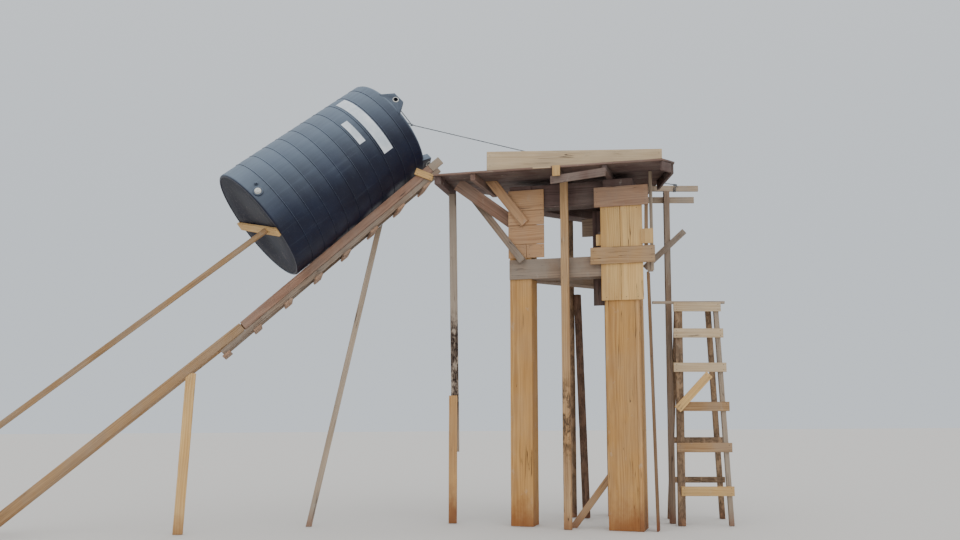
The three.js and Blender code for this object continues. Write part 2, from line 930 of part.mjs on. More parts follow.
// Poles behind the beams
add(
  "rear_pole",
  post({ foot: [1000, 780, 0], head: [1000, 780, deckSoffit - gap], long: 75, wide: 75, turn: 25 }),
  looks.greyBoard,
);
add(
  "leaning_pole",
  post({ foot: [1162, 637, 0], head: [1087.6, 726.6, 3530], long: 95, wide: 95, turn: 25 }),
  looks.bark,
);
const rightColumnTool = columnBlock(columns.right, columns.right.side, 0, beamTop, gap);
const groundTool = block({ at: [0, 0], long: 20000, wide: 9000, z: -1000, high: 1000 });
add(
  "foot_brace",
  cut(
    timber({
      from: [560, -420, -60],
      to: [1240, -640, 900],
      broad: 100,
      thin: 40,
      face: [...outward, 0],
    }),
    groundTool,
    rightColumnTool,
  ),
  looks.tanBoard,
);

// Boards beside the right column
const rightSide = columns.right.side / 2;
function besideRight(out, depth, z) {
  return [
    columns.right.at[0] + facade[0] * out + outward[0] * depth,
    columns.right.at[1] + facade[1] * out + outward[1] * depth,
    z,
  ];
}
const hanger = { out: rightSide + 250, depth: 120, foot: 3700, long: 45, wide: 60 };
const hangerBlock = { out: rightSide + 220, depth: 120, foot: 3680, head: 3835, long: 80, wide: 50 };

add(
  "right_raking_board",
  post({
    foot: besideRight(rightSide + 235, 60, 0),
    head: besideRight(rightSide + 180, 60, hangerBlock.foot - gap),
    long: 32,
    wide: 150,
    turn: facadeTurn,
  }),
  looks.redBoard,
);

function standBeside({ out, depth, foot, head, long, wide }) {
  return post({
    foot: besideRight(out, depth, foot),
    head: besideRight(out, depth, head),
    long,
    wide,
    turn: facadeTurn,
  });
}
add(
  "right_hanger",
  join(standBeside({ ...hanger, head: deckSoffit - gap }), standBeside(hangerBlock)),
  looks.freshBoard,
);
const diagonal = { from: [-330, 3850], to: [300, 4430], broad: 95, thin: 30 };
const backOfPost = -(postThick / 2 + gap + diagonal.thin / 2);
add(
  "right_diagonal_brace",
  timber({
    ...diagonal,
    from: beside(diagonal.from[0], backOfPost, diagonal.from[1]),
    to: beside(diagonal.to[0], backOfPost, diagonal.to[1]),
    face: acrossNeedle,
  }),
  looks.greyBoard,
);

// Trestle ladder: a front frame with six rungs, a rear frame with two, a bar across the top
const ladder = {
  at: [2200, -567],
  turn: -12,
  high: 3270,
  leg: 75,
  rung: 140,
  rungThick: 25,
  spread: 880,
  timber: { broad: 90, thin: 60 }, // of the rear frame
};
const rearTimbers = [
  { z: 610, back: 695, left: -10, right: 850 },
  { z: 1220, back: 537, left: 0, right: 800 },
];
const rungs = [
  { z: 3150, left: -25, right: 690 },
  { z: 2756, left: -35, right: 715 },
  { z: 2244, left: -45, right: 745 },
  { z: 1665, left: 0, right: 770 },
  { z: 1064, left: -25, right: 790 },
  { z: 432, left: 20, right: 800 },
];
const ladderWay = along(ladder.turn);
const acrossLadder = [-ladderWay[1], ladderWay[0], 0];
function atLadder(run, back, z) {
  return [
    ladder.at[0] + ladderWay[0] * run - ladderWay[1] * back,
    ladder.at[1] + ladderWay[1] * run + ladderWay[0] * back,
    z,
  ];
}
function ladderLeg(foot, head, long, wide = ladder.leg) {
  return post({ foot, head, long, wide, turn: ladder.turn });
}
function rungBlock({ z, left, right }, back) {
  return block({
    at: atLadder((left + right) / 2, back, 0),
    turn: ladder.turn,
    long: right - left,
    wide: ladder.rungThick,
    z,
    high: ladder.rung,
  });
}
const rungBack = -(ladder.leg + ladder.rungThick) / 2 + 0.5;
add(
  "ladder_front_frame",
  join(
    ladderLeg(atLadder(25, 0, 0), atLadder(60, 0, ladder.high), 110),
    ladderLeg(atLadder(755, 0, 0), atLadder(620, 0, ladder.high), 70),
    ...rungs.map((rung) => rungBlock(rung, rungBack)),
  ),
  looks.freshBoard,
);
add(
  "ladder_rear_frame",
  join(
    ladderLeg(atLadder(15.3, ladder.spread, 0), atLadder(50.3, ladder.leg + gap, ladder.high), 60),
    ladderLeg(atLadder(840, ladder.spread, 0), atLadder(520, ladder.leg + gap, ladder.high), 80),
    ...rearTimbers.map(({ z, back, left, right }) =>
      timber({
        ...ladder.timber,
        from: atLadder(left, back, z),
        to: atLadder(right, back, z),
        face: acrossLadder,
      }),
    ),
  ),
  looks.greyBoard,
);
const topBar = { left: -330, right: 760, broad: 70, thin: 40 };
const topBarZ = ladder.high + gap + topBar.thin / 2;
add(
  "ladder_top_bar",
  timber({
    ...topBar,
    from: atLadder(topBar.left, 0, topBarZ),
    to: atLadder(topBar.right, 0, topBarZ),
    face: [0, 0, 1],
  }),
  looks.greyBoard,
);
const plank = { from: [-10, 1690], to: [480, 2210], broad: 120, thin: 30 };
const plankBack = -((ladder.leg + plank.thin) / 2 + ladder.rungThick + gap); // over the rungs
add(
  "ladder_diagonal_plank",
  timber({
    ...plank,
    from: atLadder(plank.from[0], plankBack, plank.from[1]),
    to: atLadder(plank.to[0], plankBack, plank.to[1]),
    face: acrossLadder,
  }),
  looks.freshBoard,
);

// Rope: from two ears to a knot, over the deck and down to the needle board
tankGroup.updateMatrixWorld(true);
const onTank = (x, y, z) =>
  new THREE.Vector3(x, y, z).applyMatrix4(tankGroup.matrixWorld).toArray();
function earEye(angle) {
  const turn = radians(meridian(angle) + 90);
  const reach = ear.radius - ear.thick / 2 - 4;
  return onTank(Math.cos(turn) * reach, Math.sin(turn) * reach, roofStart + ear.up);
}
const knot = [-1750, -60, 5964];
const knotRadius = 32;
const deckLip = [2120, -262, deckTop + 14];
const tie = beside(180, 0, needleZ + needle.broad / 2 + gap + ropeThick / 2);
add(
  "haul_rope",
  join(
    tube([earEye(ear.angles[1]), knot]),
    tube([earEye(ear.angles[2]), knot]),
    tube([knot, deckLip, tie]),
    new THREE.IcosahedronGeometry(knotRadius, 1).translate(...knot),
  ),
  looks.rope,
);

// Push prop: a cross board against the tank's base and a long pole down to the ground
const tankAxis = new THREE.Vector3().setFromMatrixColumn(tankGroup.matrixWorld, 2).toArray();
const crossBoard = { thick: 40, broad: 125 };
const crossLevel = -crossBoard.thick / 2 - gap;
const pole = { foot: [-9242, -344, -200], head: [176, -400, -28], broad: 80, thin: 55 };
add(
  "push_prop",
  cut(
    join(
      timber({
        from: onTank(-301, 845, crossLevel),
        to: onTank(350, -785, crossLevel),
        broad: crossBoard.broad,
        thin: crossBoard.thick,
        face: tankAxis,
      }),
      timber({
        ...pole,
        from: pole.foot,
        to: onTank(...pole.head),
        face: [0, 1, 0],
      }),
    ),
    groundTool,
  ),
  looks.tanBoard,
);

export default root;
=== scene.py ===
import math
import random
import bmesh
import bpy
from mathutils import Matrix, Vector, noise


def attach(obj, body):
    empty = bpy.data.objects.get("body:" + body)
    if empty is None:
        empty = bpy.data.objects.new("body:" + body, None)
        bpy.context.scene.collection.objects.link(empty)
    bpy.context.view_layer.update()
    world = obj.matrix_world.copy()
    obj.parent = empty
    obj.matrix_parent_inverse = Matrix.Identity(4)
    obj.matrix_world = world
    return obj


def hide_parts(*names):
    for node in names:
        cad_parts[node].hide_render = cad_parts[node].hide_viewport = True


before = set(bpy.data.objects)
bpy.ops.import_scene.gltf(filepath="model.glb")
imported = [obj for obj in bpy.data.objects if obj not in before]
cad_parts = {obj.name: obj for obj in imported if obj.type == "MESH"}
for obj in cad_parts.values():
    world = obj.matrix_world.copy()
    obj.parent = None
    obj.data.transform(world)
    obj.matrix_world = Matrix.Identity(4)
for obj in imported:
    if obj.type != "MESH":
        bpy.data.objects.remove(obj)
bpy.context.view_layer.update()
scene = bpy.context.scene
print("frame loaded:", len(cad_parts), "nodes")

up = Vector((0, 0, 1))


def wayOf(degrees):
    return Vector((math.cos(math.radians(degrees)), math.sin(math.radians(degrees)), 0))


facadeWay, outWay = wayOf(-30), wayOf(-120)  # along the front of the tower, and out of it


def linked(name, data):
    thing = bpy.data.objects.new(name, data)
    scene.collection.objects.link(thing)
    return thing


def linear(color):  # from a screen colour of 0 to 255
    def one(value):
        value /= 255
        return value / 12.92 if value <= 0.04045 else ((value + 0.055) / 1.055) ** 2.4
    return (*map(one, color), 1)


# owner: a tree, or a node or socket in it; an input: a value, a socket, or a node for its first output
def newNode(owner, kind, inputs=None, **settings):
    node = owner.id_data.nodes.new(kind)
    for key, value in settings.items():
        setattr(node, key, value)
    for key, value in (inputs or {}).items():
        value = value.outputs[0] if isinstance(value, bpy.types.Node) else value
        if isinstance(value, bpy.types.NodeSocket):
            node.id_data.links.new(value, node.inputs[key])
        else:
            node.inputs[key].default_value = value
    return node


def shaderNode(owner, kind, inputs=None, **settings):
    return newNode(owner, "ShaderNode" + kind, inputs, **settings)


def geoNode(owner, kind, inputs=None, **settings):
    return newNode(owner, "GeometryNode" + kind, inputs, **settings)


def calc(operation, *values):
    return shaderNode(values[0], "Math", dict(enumerate(values)), operation=operation).outputs[0]


def times(first, second):
    return calc("MULTIPLY", first, second)


def timesPlus(first, second, added):
    return calc("MULTIPLY_ADD", first, second, added)


def layered(base, layers):  # adds each layer by its share
    for layer, share in layers:
        base = timesPlus(layer, share, base)
    return base


def offMiddle(value):
    return calc("ABSOLUTE", calc("SUBTRACT", value, 0.5))


def fade(value, low, high, start=0.0, end=1.0):
    inputs = {"Value": value, "From Min": low, "From Max": high, "To Min": start, "To Max": end}
    return shaderNode(value, "MapRange", inputs, interpolation_type="SMOOTHSTEP").outputs[0]


def mixColor(factor, first, second):
    return shaderNode(factor, "Mix", {0: factor, 6: first, 7: second}, data_type="RGBA").outputs[2]


def vectorCalc(operation, *values):
    return shaderNode(values[0], "VectorMath", dict(enumerate(values)), operation=operation).outputs[0]


def scaled(vector, by):
    return shaderNode(by, "VectorMath", {0: vector, 3: by}, operation="SCALE").outputs[0]


def heightOf(vector):
    return shaderNode(vector, "SeparateXYZ", {0: vector}).outputs[2]


def attributeOf(tree, name, output="Vector"):
    return shaderNode(tree, "Attribute", attribute_name=name).outputs[output]


def noiseOf(vector, by, detail=2.0, roughness=0.5, output="Fac"):
    inputs = {"Vector": vectorCalc("MULTIPLY", vector, by), "Scale": 1.0, "Detail": detail, "Roughness": roughness}
    return shaderNode(vector, "TexNoise", inputs).outputs[output]


def startMaterial(name):
    material = bpy.data.materials.new(name)
    material.use_nodes = True
    tree = material.node_tree
    tree.nodes.clear()
    shader = shaderNode(tree, "BsdfPrincipled")
    shaderNode(tree, "OutputMaterial", {0: shader})
    return material, tree, shader


def finishShader(shader, color, roughness, height, strength, distance, shine=0.5):
    bump = shaderNode(shader, "Bump", {"Strength": strength, "Distance": distance, "Height": height})
    for label, socket in (("Base Color", color), ("Roughness", roughness), ("Normal", bump.outputs[0])):
        shader.id_data.links.new(socket, shader.inputs[label])
    shader.inputs["Specular IOR Level"].default_value = shine


studio = {
    "eye": (-3.646, -13.947, 1.8),
    "lookUp": 7.91,
    "lookRight": 12,
    "lens": 35.625,
    "sensor": 36,
    "farthest": 300,
    "skyLow": (0.74, 0.80, 0.86, 1),
    "skyHigh": (1.0, 1.0, 1.0, 1),
    "skyFade": (0.1, 0.95),
    "skyStrength": 1.0,
    "floor": (0.62, 0.60, 0.57, 1),
    "floorSize": 90,
    "floorLevel": -0.002,
    "floorRough": 0.9,
    "keyFrom": (-1, -14, 18),
    "keyStrength": 1.5,
    "keySpread": 110,
}


def makeCamera():
    lens = bpy.data.cameras.new("camera")
    lens.lens, lens.sensor_width, lens.clip_end = studio["lens"], studio["sensor"], studio["farthest"]
    camera = linked("camera", lens)
    camera.location = studio["eye"]
    camera.rotation_euler = (math.radians(90 + studio["lookUp"]), 0, math.radians(-studio["lookRight"]))
    scene.camera = camera


def makeLight():
    lamp = bpy.data.lights.new("key", "SUN")
    lamp.energy, lamp.angle = studio["keyStrength"], math.radians(studio["keySpread"])
    linked("key", lamp).rotation_euler = Vector(studio["keyFrom"]).to_track_quat("Z", "Y").to_euler()
    world = bpy.data.worlds.new("studioSky")
    world.use_nodes = True
    sky = world.node_tree
    back = sky.nodes["Background"]
    rise = heightOf(shaderNode(sky, "TexCoord").outputs["Generated"])
    color = mixColor(fade(rise, *studio["skyFade"]), studio["skyLow"], studio["skyHigh"])
    sky.links.new(color, back.inputs["Color"])
    back.inputs["Strength"].default_value = studio["skyStrength"]
    scene.world = world


def makeFloor():
    half = studio["floorSize"] / 2
    mesh = bpy.data.meshes.new("floor")
    corners = ((-half, -half), (half, -half), (half, half), (-half, half))
    mesh.from_pydata([(*corner, studio["floorLevel"]) for corner in corners], [], [(0, 1, 2, 3)])
    paint = bpy.data.materials.new("floorPaint")
    paint.use_nodes = True
    shader = paint.node_tree.nodes["Principled BSDF"]
    shader.inputs["Base Color"].default_value = studio["floor"]
    shader.inputs["Roughness"].default_value = studio["floorRough"]
    mesh.materials.append(paint)
    linked("floor", mesh)


makeCamera()
makeLight()
makeFloor()
print("camera, light and floor ready")

# finishes of the timber by slot: colours of 0 to 255, heights in metres, the rest shares of 0 to 1
slotLooks = {
    "fresh_boards": {
        "freshTan": {"dark": (184, 138, 82), "light": (222, 185, 124)},
        "paleBeige": {"dark": (186, 158, 122), "light": (220, 197, 162)},
    },
    "tan_boards": {
        "pinkTan": {"dark": (150, 108, 74), "light": (202, 160, 118)},
        "shaftTan": {"dark": (161, 114, 62), "light": (206, 160, 99), "soil": 0.8, "soilHigh": 0.95,
                     "soilTint": (138, 82, 42), "cement": 0.3},
        "soiledTan": {"dark": (168, 122, 72), "light": (212, 168, 112), "soil": 0.8, "soilHigh": 1.3, "cement": 0.35},
        "dustyTan": {"dark": (130, 98, 66), "light": (186, 150, 108), "weather": 0.3},
        "brownTan": {"dark": (98, 70, 46), "light": (144, 112, 78), "soil": 0.85},
        # a darker tan that paints the deck's shade on the ledger under it
        "dampTan": {"dark": (92, 72, 64), "light": (140, 116, 106), "weather": 0.3},
        "stainedPinkTan": {"dark": (132, 100, 80), "light": (184, 146, 116), "weather": 0.3, "checks": 0.8},
    },
    "grey_boards": {
        "greyBrown": {"dark": (104, 86, 72), "light": (154, 132, 112), "weather": 0.5, "checks": 0.8},
        "paleGrey": {"dark": (134, 116, 98), "light": (184, 164, 142), "weather": 0.4, "checks": 0.6},
    },
    "dark_boards": {
        # painted shade: a near-black brown for the deck's underside and the boards in its shadow, with some real
        # cement stain
        "darkDamp": {"dark": (57, 43, 41), "light": (116, 92, 86), "weather": 0.2, "cement": 0.4},
    },
    "red_boards": {
        "redSawn": {"dark": (118, 86, 70), "light": (166, 130, 108), "saw": 1.0, "weather": 0.3},
        "redEdge": {"dark": (98, 74, 64), "light": (150, 121, 107), "saw": 0.8},
    },
    "bark_wood": {
        "tanPole": {"dark": (156, 116, 76), "light": (206, 168, 122), "bark": 0.7, "barkBand": (0.8, 2.3),
                    "checks": 0.6},
        "peeledPole": {"dark": (136, 120, 106), "light": (182, 166, 148), "bark": 1.0, "barkBand": (1.5, 3.3),
                       "checks": 0.7},
        "brownPole": {"dark": (84, 62, 50), "light": (124, 96, 78), "bark": 0.45, "checks": 0.7},
        "greyBark": {"dark": (122, 98, 76), "light": (170, 140, 108), "bark": 0.4},
    },
}
woodLooks = {name: {"slot": slot, **look} for slot, looks in slotLooks.items() for name, look in looks.items()}
woodDefaults = {
    "weather": 0.15,
    "weatherTint": (150, 141, 130),
    "soil": 0.5,
    "soilTint": (118, 66, 40),
    "soilHigh": 0.55,  # metres above the ground
    "cement": 0.22,
    "cementTint": (182, 175, 164),
    "knots": 0.55,
    "knotTint": (70, 40, 26),
    "checks": 0.45,
    "checkTint": (38, 26, 20),
    "saw": 0.5,
    "bark": 0.0,
    "barkTint": (66, 48, 38),
    "barkCrackTint": (40, 28, 22),
    "barkBand": (-1, 9),  # heights between which bark is left
    "figure": 0.4,
    "contrast": 0.8,
    "toneSpread": 0.11,
    "ringWide": 0.016,
    "rough": 0.68,
    "shine": 0.28,
}
# noise on a board's own grain (along, across, through) or on the object: scales, detail, roughness
grainNoise = {
    "drift": ((0.8, 5, 5), 2.0, 0.5, "Color"),
    "fibre": ((3, 210, 210), 3.0, 0.6),
    "streak": ((0.9, 34, 34), 3.0, 0.55),
    "blotch": ((1.1, 7, 7), 3.0, 0.6),
    "sawnPatch": ((2.2, 3, 3),),
    "checkLine": ((0.7, 24, 24), 1.0),
    "checkPatch": ((1.7, 5, 5), 1.0),
}
spotNoise = {
    "worn": ((2.3, 2.3, 1.3), 4.0, 0.62),
    "caked": ((7, 7, 4), 5.0, 0.7),
    "splash": ((5, 5, 3), 4.0, 0.65),
    "barkPatch": ((9, 9, 5), 4.0, 0.65),
}


def woodFinish(name, look):
    look = {**woodDefaults, **look}
    material, tree, shader = startMaterial(name)
    grain = attributeOf(tree, "grain")
    spot = shaderNode(tree, "TexCoord").outputs["Object"]
    high = heightOf(spot)

    def onGrain(label):
        return noiseOf(grain, *grainNoise[label])

    def onSpot(label):
        return noiseOf(spot, *spotNoise[label])

    # knots: a dark eye in some of the cells, and the rings bend round it
    cells = shaderNode(tree, "TexVoronoi", {"Vector": vectorCalc("MULTIPLY", grain, (1.3, 4.6, 0.0)), "Scale": 1.0,
                                            "Randomness": 0.9})
    chosen = shaderNode(tree, "SeparateColor", {0: cells.outputs["Color"]}).outputs[0]
    chosen = fade(chosen, 1 - look["knots"] * 0.7, 1.02 - look["knots"] * 0.7)
    eye = times(fade(cells.outputs["Distance"], 0.13, 0.05), chosen)
    halo = times(fade(cells.outputs["Distance"], 0.42, 0.08), chosen)

    # growth rings, fibres and blotches
    drift = vectorCalc("MULTIPLY_ADD", onGrain("drift"), (0.045, 0.045, 0.045), grain)
    pull = shaderNode(tree, "CombineXYZ", {1: times(halo, 0.035)})
    drift = vectorCalc("ADD", drift, pull)
    rings = shaderNode(tree, "TexWave", {"Vector": vectorCalc("MULTIPLY", drift, (0.04, 1, 1)), "Distortion": 1.6,
                                         "Detail": 2.0, "Scale": math.pi / 10 / look["ringWide"],
                                         "Detail Scale": 0.8},
                       wave_type="RINGS", rings_direction="X").outputs["Fac"]
    fibre = onGrain("fibre")
    figure = layered(times(rings, look["figure"] * 0.6),
                     ((fibre, 0.35), (onGrain("streak"), 0.55), (onGrain("blotch"), 0.5)))
    spread = look["contrast"] / 2
    color = mixColor(fade(figure, 0.45, 1.15, 0.5 - spread, 0.5 + spread), linear(look["dark"]),
                     linear(look["light"]))
    color = scaled(color, timesPlus(attributeOf(tree, "tone", "Fac"), look["toneSpread"], 1.0))

    # saw marks across the board, drying splits along it
    sawn = shaderNode(tree, "TexWave", {"Vector": vectorCalc("MULTIPLY", grain, (1, 0.22, 0.22)), "Scale": 26.0,
                                        "Distortion": 2.0, "Detail": 2.0},
                      wave_type="BANDS", bands_direction="X").outputs["Fac"]
    sawn = times(sawn, fade(onGrain("sawnPatch"), 0.45, 0.65))
    rarest = 0.62 - 0.2 * look["checks"]
    check = times(fade(offMiddle(onGrain("checkLine")), 0.012, 0.003),
                  fade(onGrain("checkPatch"), rarest, rarest + 0.1))

    # weathering, dried cement and splashed soil
    worn = fade(onSpot("worn"), 0.38, 0.66)
    caked = fade(onSpot("caked"), 0.60, 0.72)
    splash = timesPlus(onSpot("splash"), look["soilHigh"] * 0.9, high)
    splash = fade(splash, look["soilHigh"] * 1.05, look["soilHigh"] * 0.4)
    stains = [("dark", sawn, look["saw"] * 0.35), ("checkTint", check, 0.8), ("dark", halo, 0.3),
              ("knotTint", eye, 0.85), ("weatherTint", worn, look["weather"]),
              ("cementTint", caked, look["cement"]), ("soilTint", splash, look["soil"])]
    relief = [(sawn, 0.5 * look["saw"]), (check, -1.6), (eye, 0.3)]
    if look["bark"]:
        edges = shaderNode(tree, "TexVoronoi", {"Vector": vectorCalc("MULTIPLY", drift, (9, 42, 42)), "Scale": 1.0},
                           feature="DISTANCE_TO_EDGE").outputs["Distance"]
        low, top = look["barkBand"]
        left = fade(onSpot("barkPatch"), 0.42, 0.54)
        for share in (fade(high, low, low + 0.5), fade(high, top, top - 0.5), look["bark"]):
            left = times(left, share)
        crack = times(fade(edges, 0.20, 0.02), left)
        stains += [("barkTint", left, 0.75), ("barkCrackTint", crack, 1.0)]
        relief += [(crack, -1.2), (left, 0.9)]
    for tint, amount, share in stains:
        color = mixColor(times(amount, share), color, linear(look[tint]))
    height = layered(times(fibre, 0.6), [(rings, 0.25)] + relief)
    finishShader(shader, color, timesPlus(fibre, 0.22, look["rough"]), height, 0.55, 0.004, look["shine"])
    return material


woods = {name: woodFinish(name, look) for name, look in woodLooks.items()}
print("timber finishes:", len(woods))

# boards are cut from the solids or laid by their ends, then eased, divided and worn
timberWear = {
    "edge": 0.004,  # rounding of the sawn edges
    "rough": 0.0022,  # how far the faces are worn in
    "chip": 0.007,  # nicks along the edges
    "pitch": 0.11,  # spacing of the divisions along a board
    "acrossPitch": 0.075,
    "swellScale": 1.9,
    "fineScale": 13,
    "chipScale": 8.5,
    "chipFrom": 0.25,
}
timberForm = {
    "thinnest": 0.004,  # a slice thinner than this is thrown away
    "merge": 0.0008,
    "easeFrom": 25,  # degrees at an edge from which it is rounded
    "sharpFrom": 18,  # and from which it stays sharp in the shading
}


def painted(mesh, *materials):
    mesh.materials.clear()
    for material in materials:
        mesh.materials.append(material)
    return mesh


def settle(name, mesh, slot, *nodes):
    piece = linked(name, mesh)
    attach(piece, "root")
    if nodes:
        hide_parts(*nodes)


def tidyFaces(form):
    bmesh.ops.dissolve_limit(form, angle_limit=math.radians(1), verts=form.verts[:], edges=form.edges[:])


def everything(form):
    return form.verts[:] + form.edges[:] + form.faces[:]


def sliced(form, way, distance):
    halves = []
    for side in (1, -1):
        half = form.copy()
        bmesh.ops.bisect_plane(half, geom=everything(half), dist=1e-6, plane_co=way * distance,
                               plane_no=way * side, clear_outer=True)
        bmesh.ops.holes_fill(half, edges=[edge for edge in half.edges if edge.is_boundary], sides=0)
        if half.faces:
            halves.append(half)
        else:
            half.free()
    form.free()
    return halves


def islandsOf(form):  # the separate boards that a cut leaves
    form.faces.index_update()
    seen, groups = set(), []
    for face in form.faces:
        if face.index in seen:
            continue
        group, waiting = {face.index}, [face]
        while waiting:
            for edge in waiting.pop().edges:
                for other in edge.link_faces:
                    if other.index not in group:
                        group.add(other.index)
                        waiting.append(other)
        seen |= group
        groups.append(group)
    if len(groups) == 1:
        return [form]
    islands = []
    for group in groups:
        island = form.copy()
        island.faces.index_update()
        bmesh.ops.delete(island, geom=[face for face in island.faces if face.index not in group], context="FACES")
        islands.append(island)
    form.free()
    return islands


def spanOf(form, way):
    reach = [vert.co.dot(way) for vert in form.verts]
    return min(reach), max(reach)


def thickness(form):
    low, high = spanOf(form, max(form.faces, key=lambda face: face.calc_area()).normal)
    return high - low


def boardsOf(node, cuts):
    form = bmesh.new()
    form.from_mesh(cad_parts[node].data)
    bmesh.ops.remove_doubles(form, verts=form.verts, dist=1e-5)
    tidyFaces(form)
    forms = [form]
    for cut in cuts:
        way, distance, between = (*cut, None)[:3]  # between: only what has its middle in these heights
        done = []
        for form in forms:
            low, high = spanOf(form, up)
            if between and not between[0] < (low + high) / 2 < between[1]:
                done.append(form)
                continue
            for half in sliced(form, way, distance):
                done += islandsOf(half)
        forms = done
    kept = []
    for form in forms:
        bmesh.ops.remove_doubles(form, verts=form.verts, dist=timberForm["merge"])
        tidyFaces(form)
        if form.faces and thickness(form) > timberForm["thinnest"]:
            bmesh.ops.recalc_face_normals(form, faces=form.faces)
            kept.append(form)
        else:
            form.free()
    return kept


def blockOf(start, end, *sides):
    basis = Matrix(sides).transposed().to_4x4()
    form = bmesh.new()
    bmesh.ops.create_cube(form, size=1, matrix=Matrix.Translation((start + end) / 2) @ basis)
    return form


def layBoard(start, end, broad, thin, face):
    start, end = Vector(start), Vector(end)
    axis = (end - start).normalized()
    side = Vector(face).cross(axis).normalized()
    return blockOf(start, end, axis * (end - start).length, side * broad, axis.cross(side) * thin)


def boardFrame(form, way=None):  # ways along, across and through a board
    if way is None:
        longest = max(form.edges, key=lambda edge: edge.calc_length())
        way = (longest.verts[1].co - longest.verts[0].co).normalized()
    flat = max((face for face in form.faces if abs(face.normal.dot(way)) < 0.4),
               key=lambda face: face.calc_area()).normal
    side = flat.cross(way).normalized()
    return way, side, way.cross(side).normalized()


nailPoints = []  # (place, way that the head looks) of every nail
nailing = {"inset": 0.045, "across": (-0.55, 0.5), "sunk": 0.0012}


def addNails(spec, way, side, flat, spans):
    (start, end), (left, right), (back, front) = spans
    headWay, reach = (-flat, -back) if flat.dot(outWay) < 0 else (flat, front)
    inset = spec.get("nailInset", nailing["inset"])
    for along in (start + inset, end - inset):
        for share in nailing["across"]:
            across = (left + right) / 2 + (right - left) / 2 * share
            nailPoints.append((way * along + side * across + headWay * (reach - nailing["sunk"]), headWay))


def addBoard(bundle, form, spec, dice):
    look = spec["look"]
    if "lookAt" in spec:
        look = spec["lookAt"](sum((vert.co for vert in form.verts), Vector()) / len(form.verts))
    if look not in bundle["looks"]:
        bundle["looks"].append(look)
    ways = boardFrame(form, spec.get("way"))
    spans = [spanOf(form, way) for way in ways]
    if spec.get("nails"):
        addNails(spec, *ways, spans)
    wear = {**timberWear, **spec.get("wear", {})}
    sharp = [edge for edge in form.edges if len(edge.link_faces) == 2 and
             edge.calc_face_angle(0) > math.radians(timberForm["easeFrom"])]
    bmesh.ops.bevel(form, geom=sharp, offset=wear["edge"], offset_type="OFFSET", segments=2, profile=0.6,
                    affect="EDGES", clamp_overlap=True)
    for way, (low, high), pitch in zip(ways, spans, (wear["pitch"], wear["acrossPitch"])):
        count = round((high - low) / pitch)
        for step in range(1, count):
            bmesh.ops.bisect_plane(form, geom=everything(form), dist=1e-5,
                                   plane_co=way * (low + (high - low) * step / count), plane_no=way)
    form.normal_update()
    shift = Vector((dice.uniform(0, 90), dice.uniform(0, 90), dice.uniform(0, 90)))
    ringMiddle = (dice.uniform(-3, 3), dice.choice((-1, 1)) * dice.uniform(0.02, 0.16),
                  dice.choice((-1, 1)) * dice.uniform(0.03, 0.22))
    tone = dice.uniform(-1, 1)
    moved = []
    for vert in form.verts:
        swell = 0.5 + 0.5 * noise.noise(vert.co * wear["swellScale"] + shift)
        fine = 0.5 + 0.5 * noise.noise(vert.co * wear["fineScale"] + shift)
        depth = wear["rough"] * (0.55 * swell + 0.45 * fine)
        if max(edge.calc_face_angle(0) for edge in vert.link_edges) > 0.3:
            nick = noise.noise(vert.co * wear["chipScale"] + shift * 1.7) - wear["chipFrom"]
            depth += wear["chip"] * max(0.0, nick)
        moved.append(vert.co - vert.normal * depth)
    first = len(bundle["verts"])
    bundle["verts"] += moved
    for vert in form.verts:
        bundle["grain"] += [vert.co.dot(way) - (low + high) / 2 + ring
                            for way, (low, high), ring in zip(ways, spans, ringMiddle)]
        bundle["tone"].append(tone)
    form.verts.index_update()
    bundle["faces"] += [[first + vert.index for vert in face.verts] for face in form.faces]
    bundle["finish"] += [bundle["looks"].index(look)] * len(form.faces)
    form.free()


def addTimber(name, forms, spec, dice, *nodes):
    bundle = {"verts": [], "faces": [], "grain": [], "tone": [], "looks": [], "finish": []}
    for form in forms:
        addBoard(bundle, form, spec, dice)
    mesh = bpy.data.meshes.new(name)
    mesh.from_pydata(bundle["verts"], [], bundle["faces"])
    mesh.attributes.new("grain", "FLOAT_VECTOR", "POINT").data.foreach_set("vector", bundle["grain"])
    mesh.attributes.new("tone", "FLOAT", "POINT").data.foreach_set("value", bundle["tone"])
    mesh.shade_smooth()
    mesh.set_sharp_from_angle(angle=math.radians(timberForm["sharpFrom"]))
    painted(mesh, *(woods[look] for look in bundle["looks"]))
    mesh.polygons.foreach_set("material_index", bundle["finish"])
    settle(name, mesh, woodLooks[spec["look"]]["slot"], *nodes)


tower = {
    "board": 0.0255,  # a form board and half a millimetre
    "columns": {"left": ((0, 0), 0.34), "right": ((1.306, -0.744), 0.44), "rear": ((1.794, 0.835), 0.34)},
    "seam": 0.0036,  # open joint between two boards
    "tieFloor": 3.6602,
    "deckFloor": 4.7452,
    "shaftTop": 4.745,
    "packingFrom": 1.7235,  # right face of the right column, that the packing stands on
    "hangerBlock": 3.8355,
    "leftHeadSeams": (4.684, 4.458, 4.166),
    "leftHeadUpright": (0.099, (3.9, 4.12)),  # an upright seam, and the heights between which it runs
    "rightHeadSeam": 1.533,
    "deckTurn": -28.184,
    "deckCorner": (-1.434, -0.135),
    "deckPlank": 0.236,
    "deckPlanks": 16,
    "plankShift": {"left": 0.19, "right": 0.12},
    "deckEdge": 0.045,  # batten along the front edge
}
deckWay, deckInward = wayOf(tower["deckTurn"]), wayOf(tower["deckTurn"] + 90)
deckFront = Vector((*tower["deckCorner"], 0)).dot(deckInward)


def seam(way, distance, between=None):
    half = tower["seam"] / 2
    return [(way, distance - half, between), (way, distance + half, between)]


def columnCuts(name):
    (x, y), wide = tower["columns"][name]
    middle = Vector((x, y, 0)).dot(outWay)
    return [(outWay, middle + wide / 2 - tower["board"]), (outWay, middle - wide / 2 + tower["board"]),
            (up, tower["shaftTop"])]


def columnLook(spot):
    if spot.dot(facadeWay) > tower["packingFrom"]:
        return "soiledTan"
    # the column heads above the shaft top, under the deck, get the painted-shade look
    return "darkDamp" if spot.z > tower["shaftTop"] else "shaftTan"


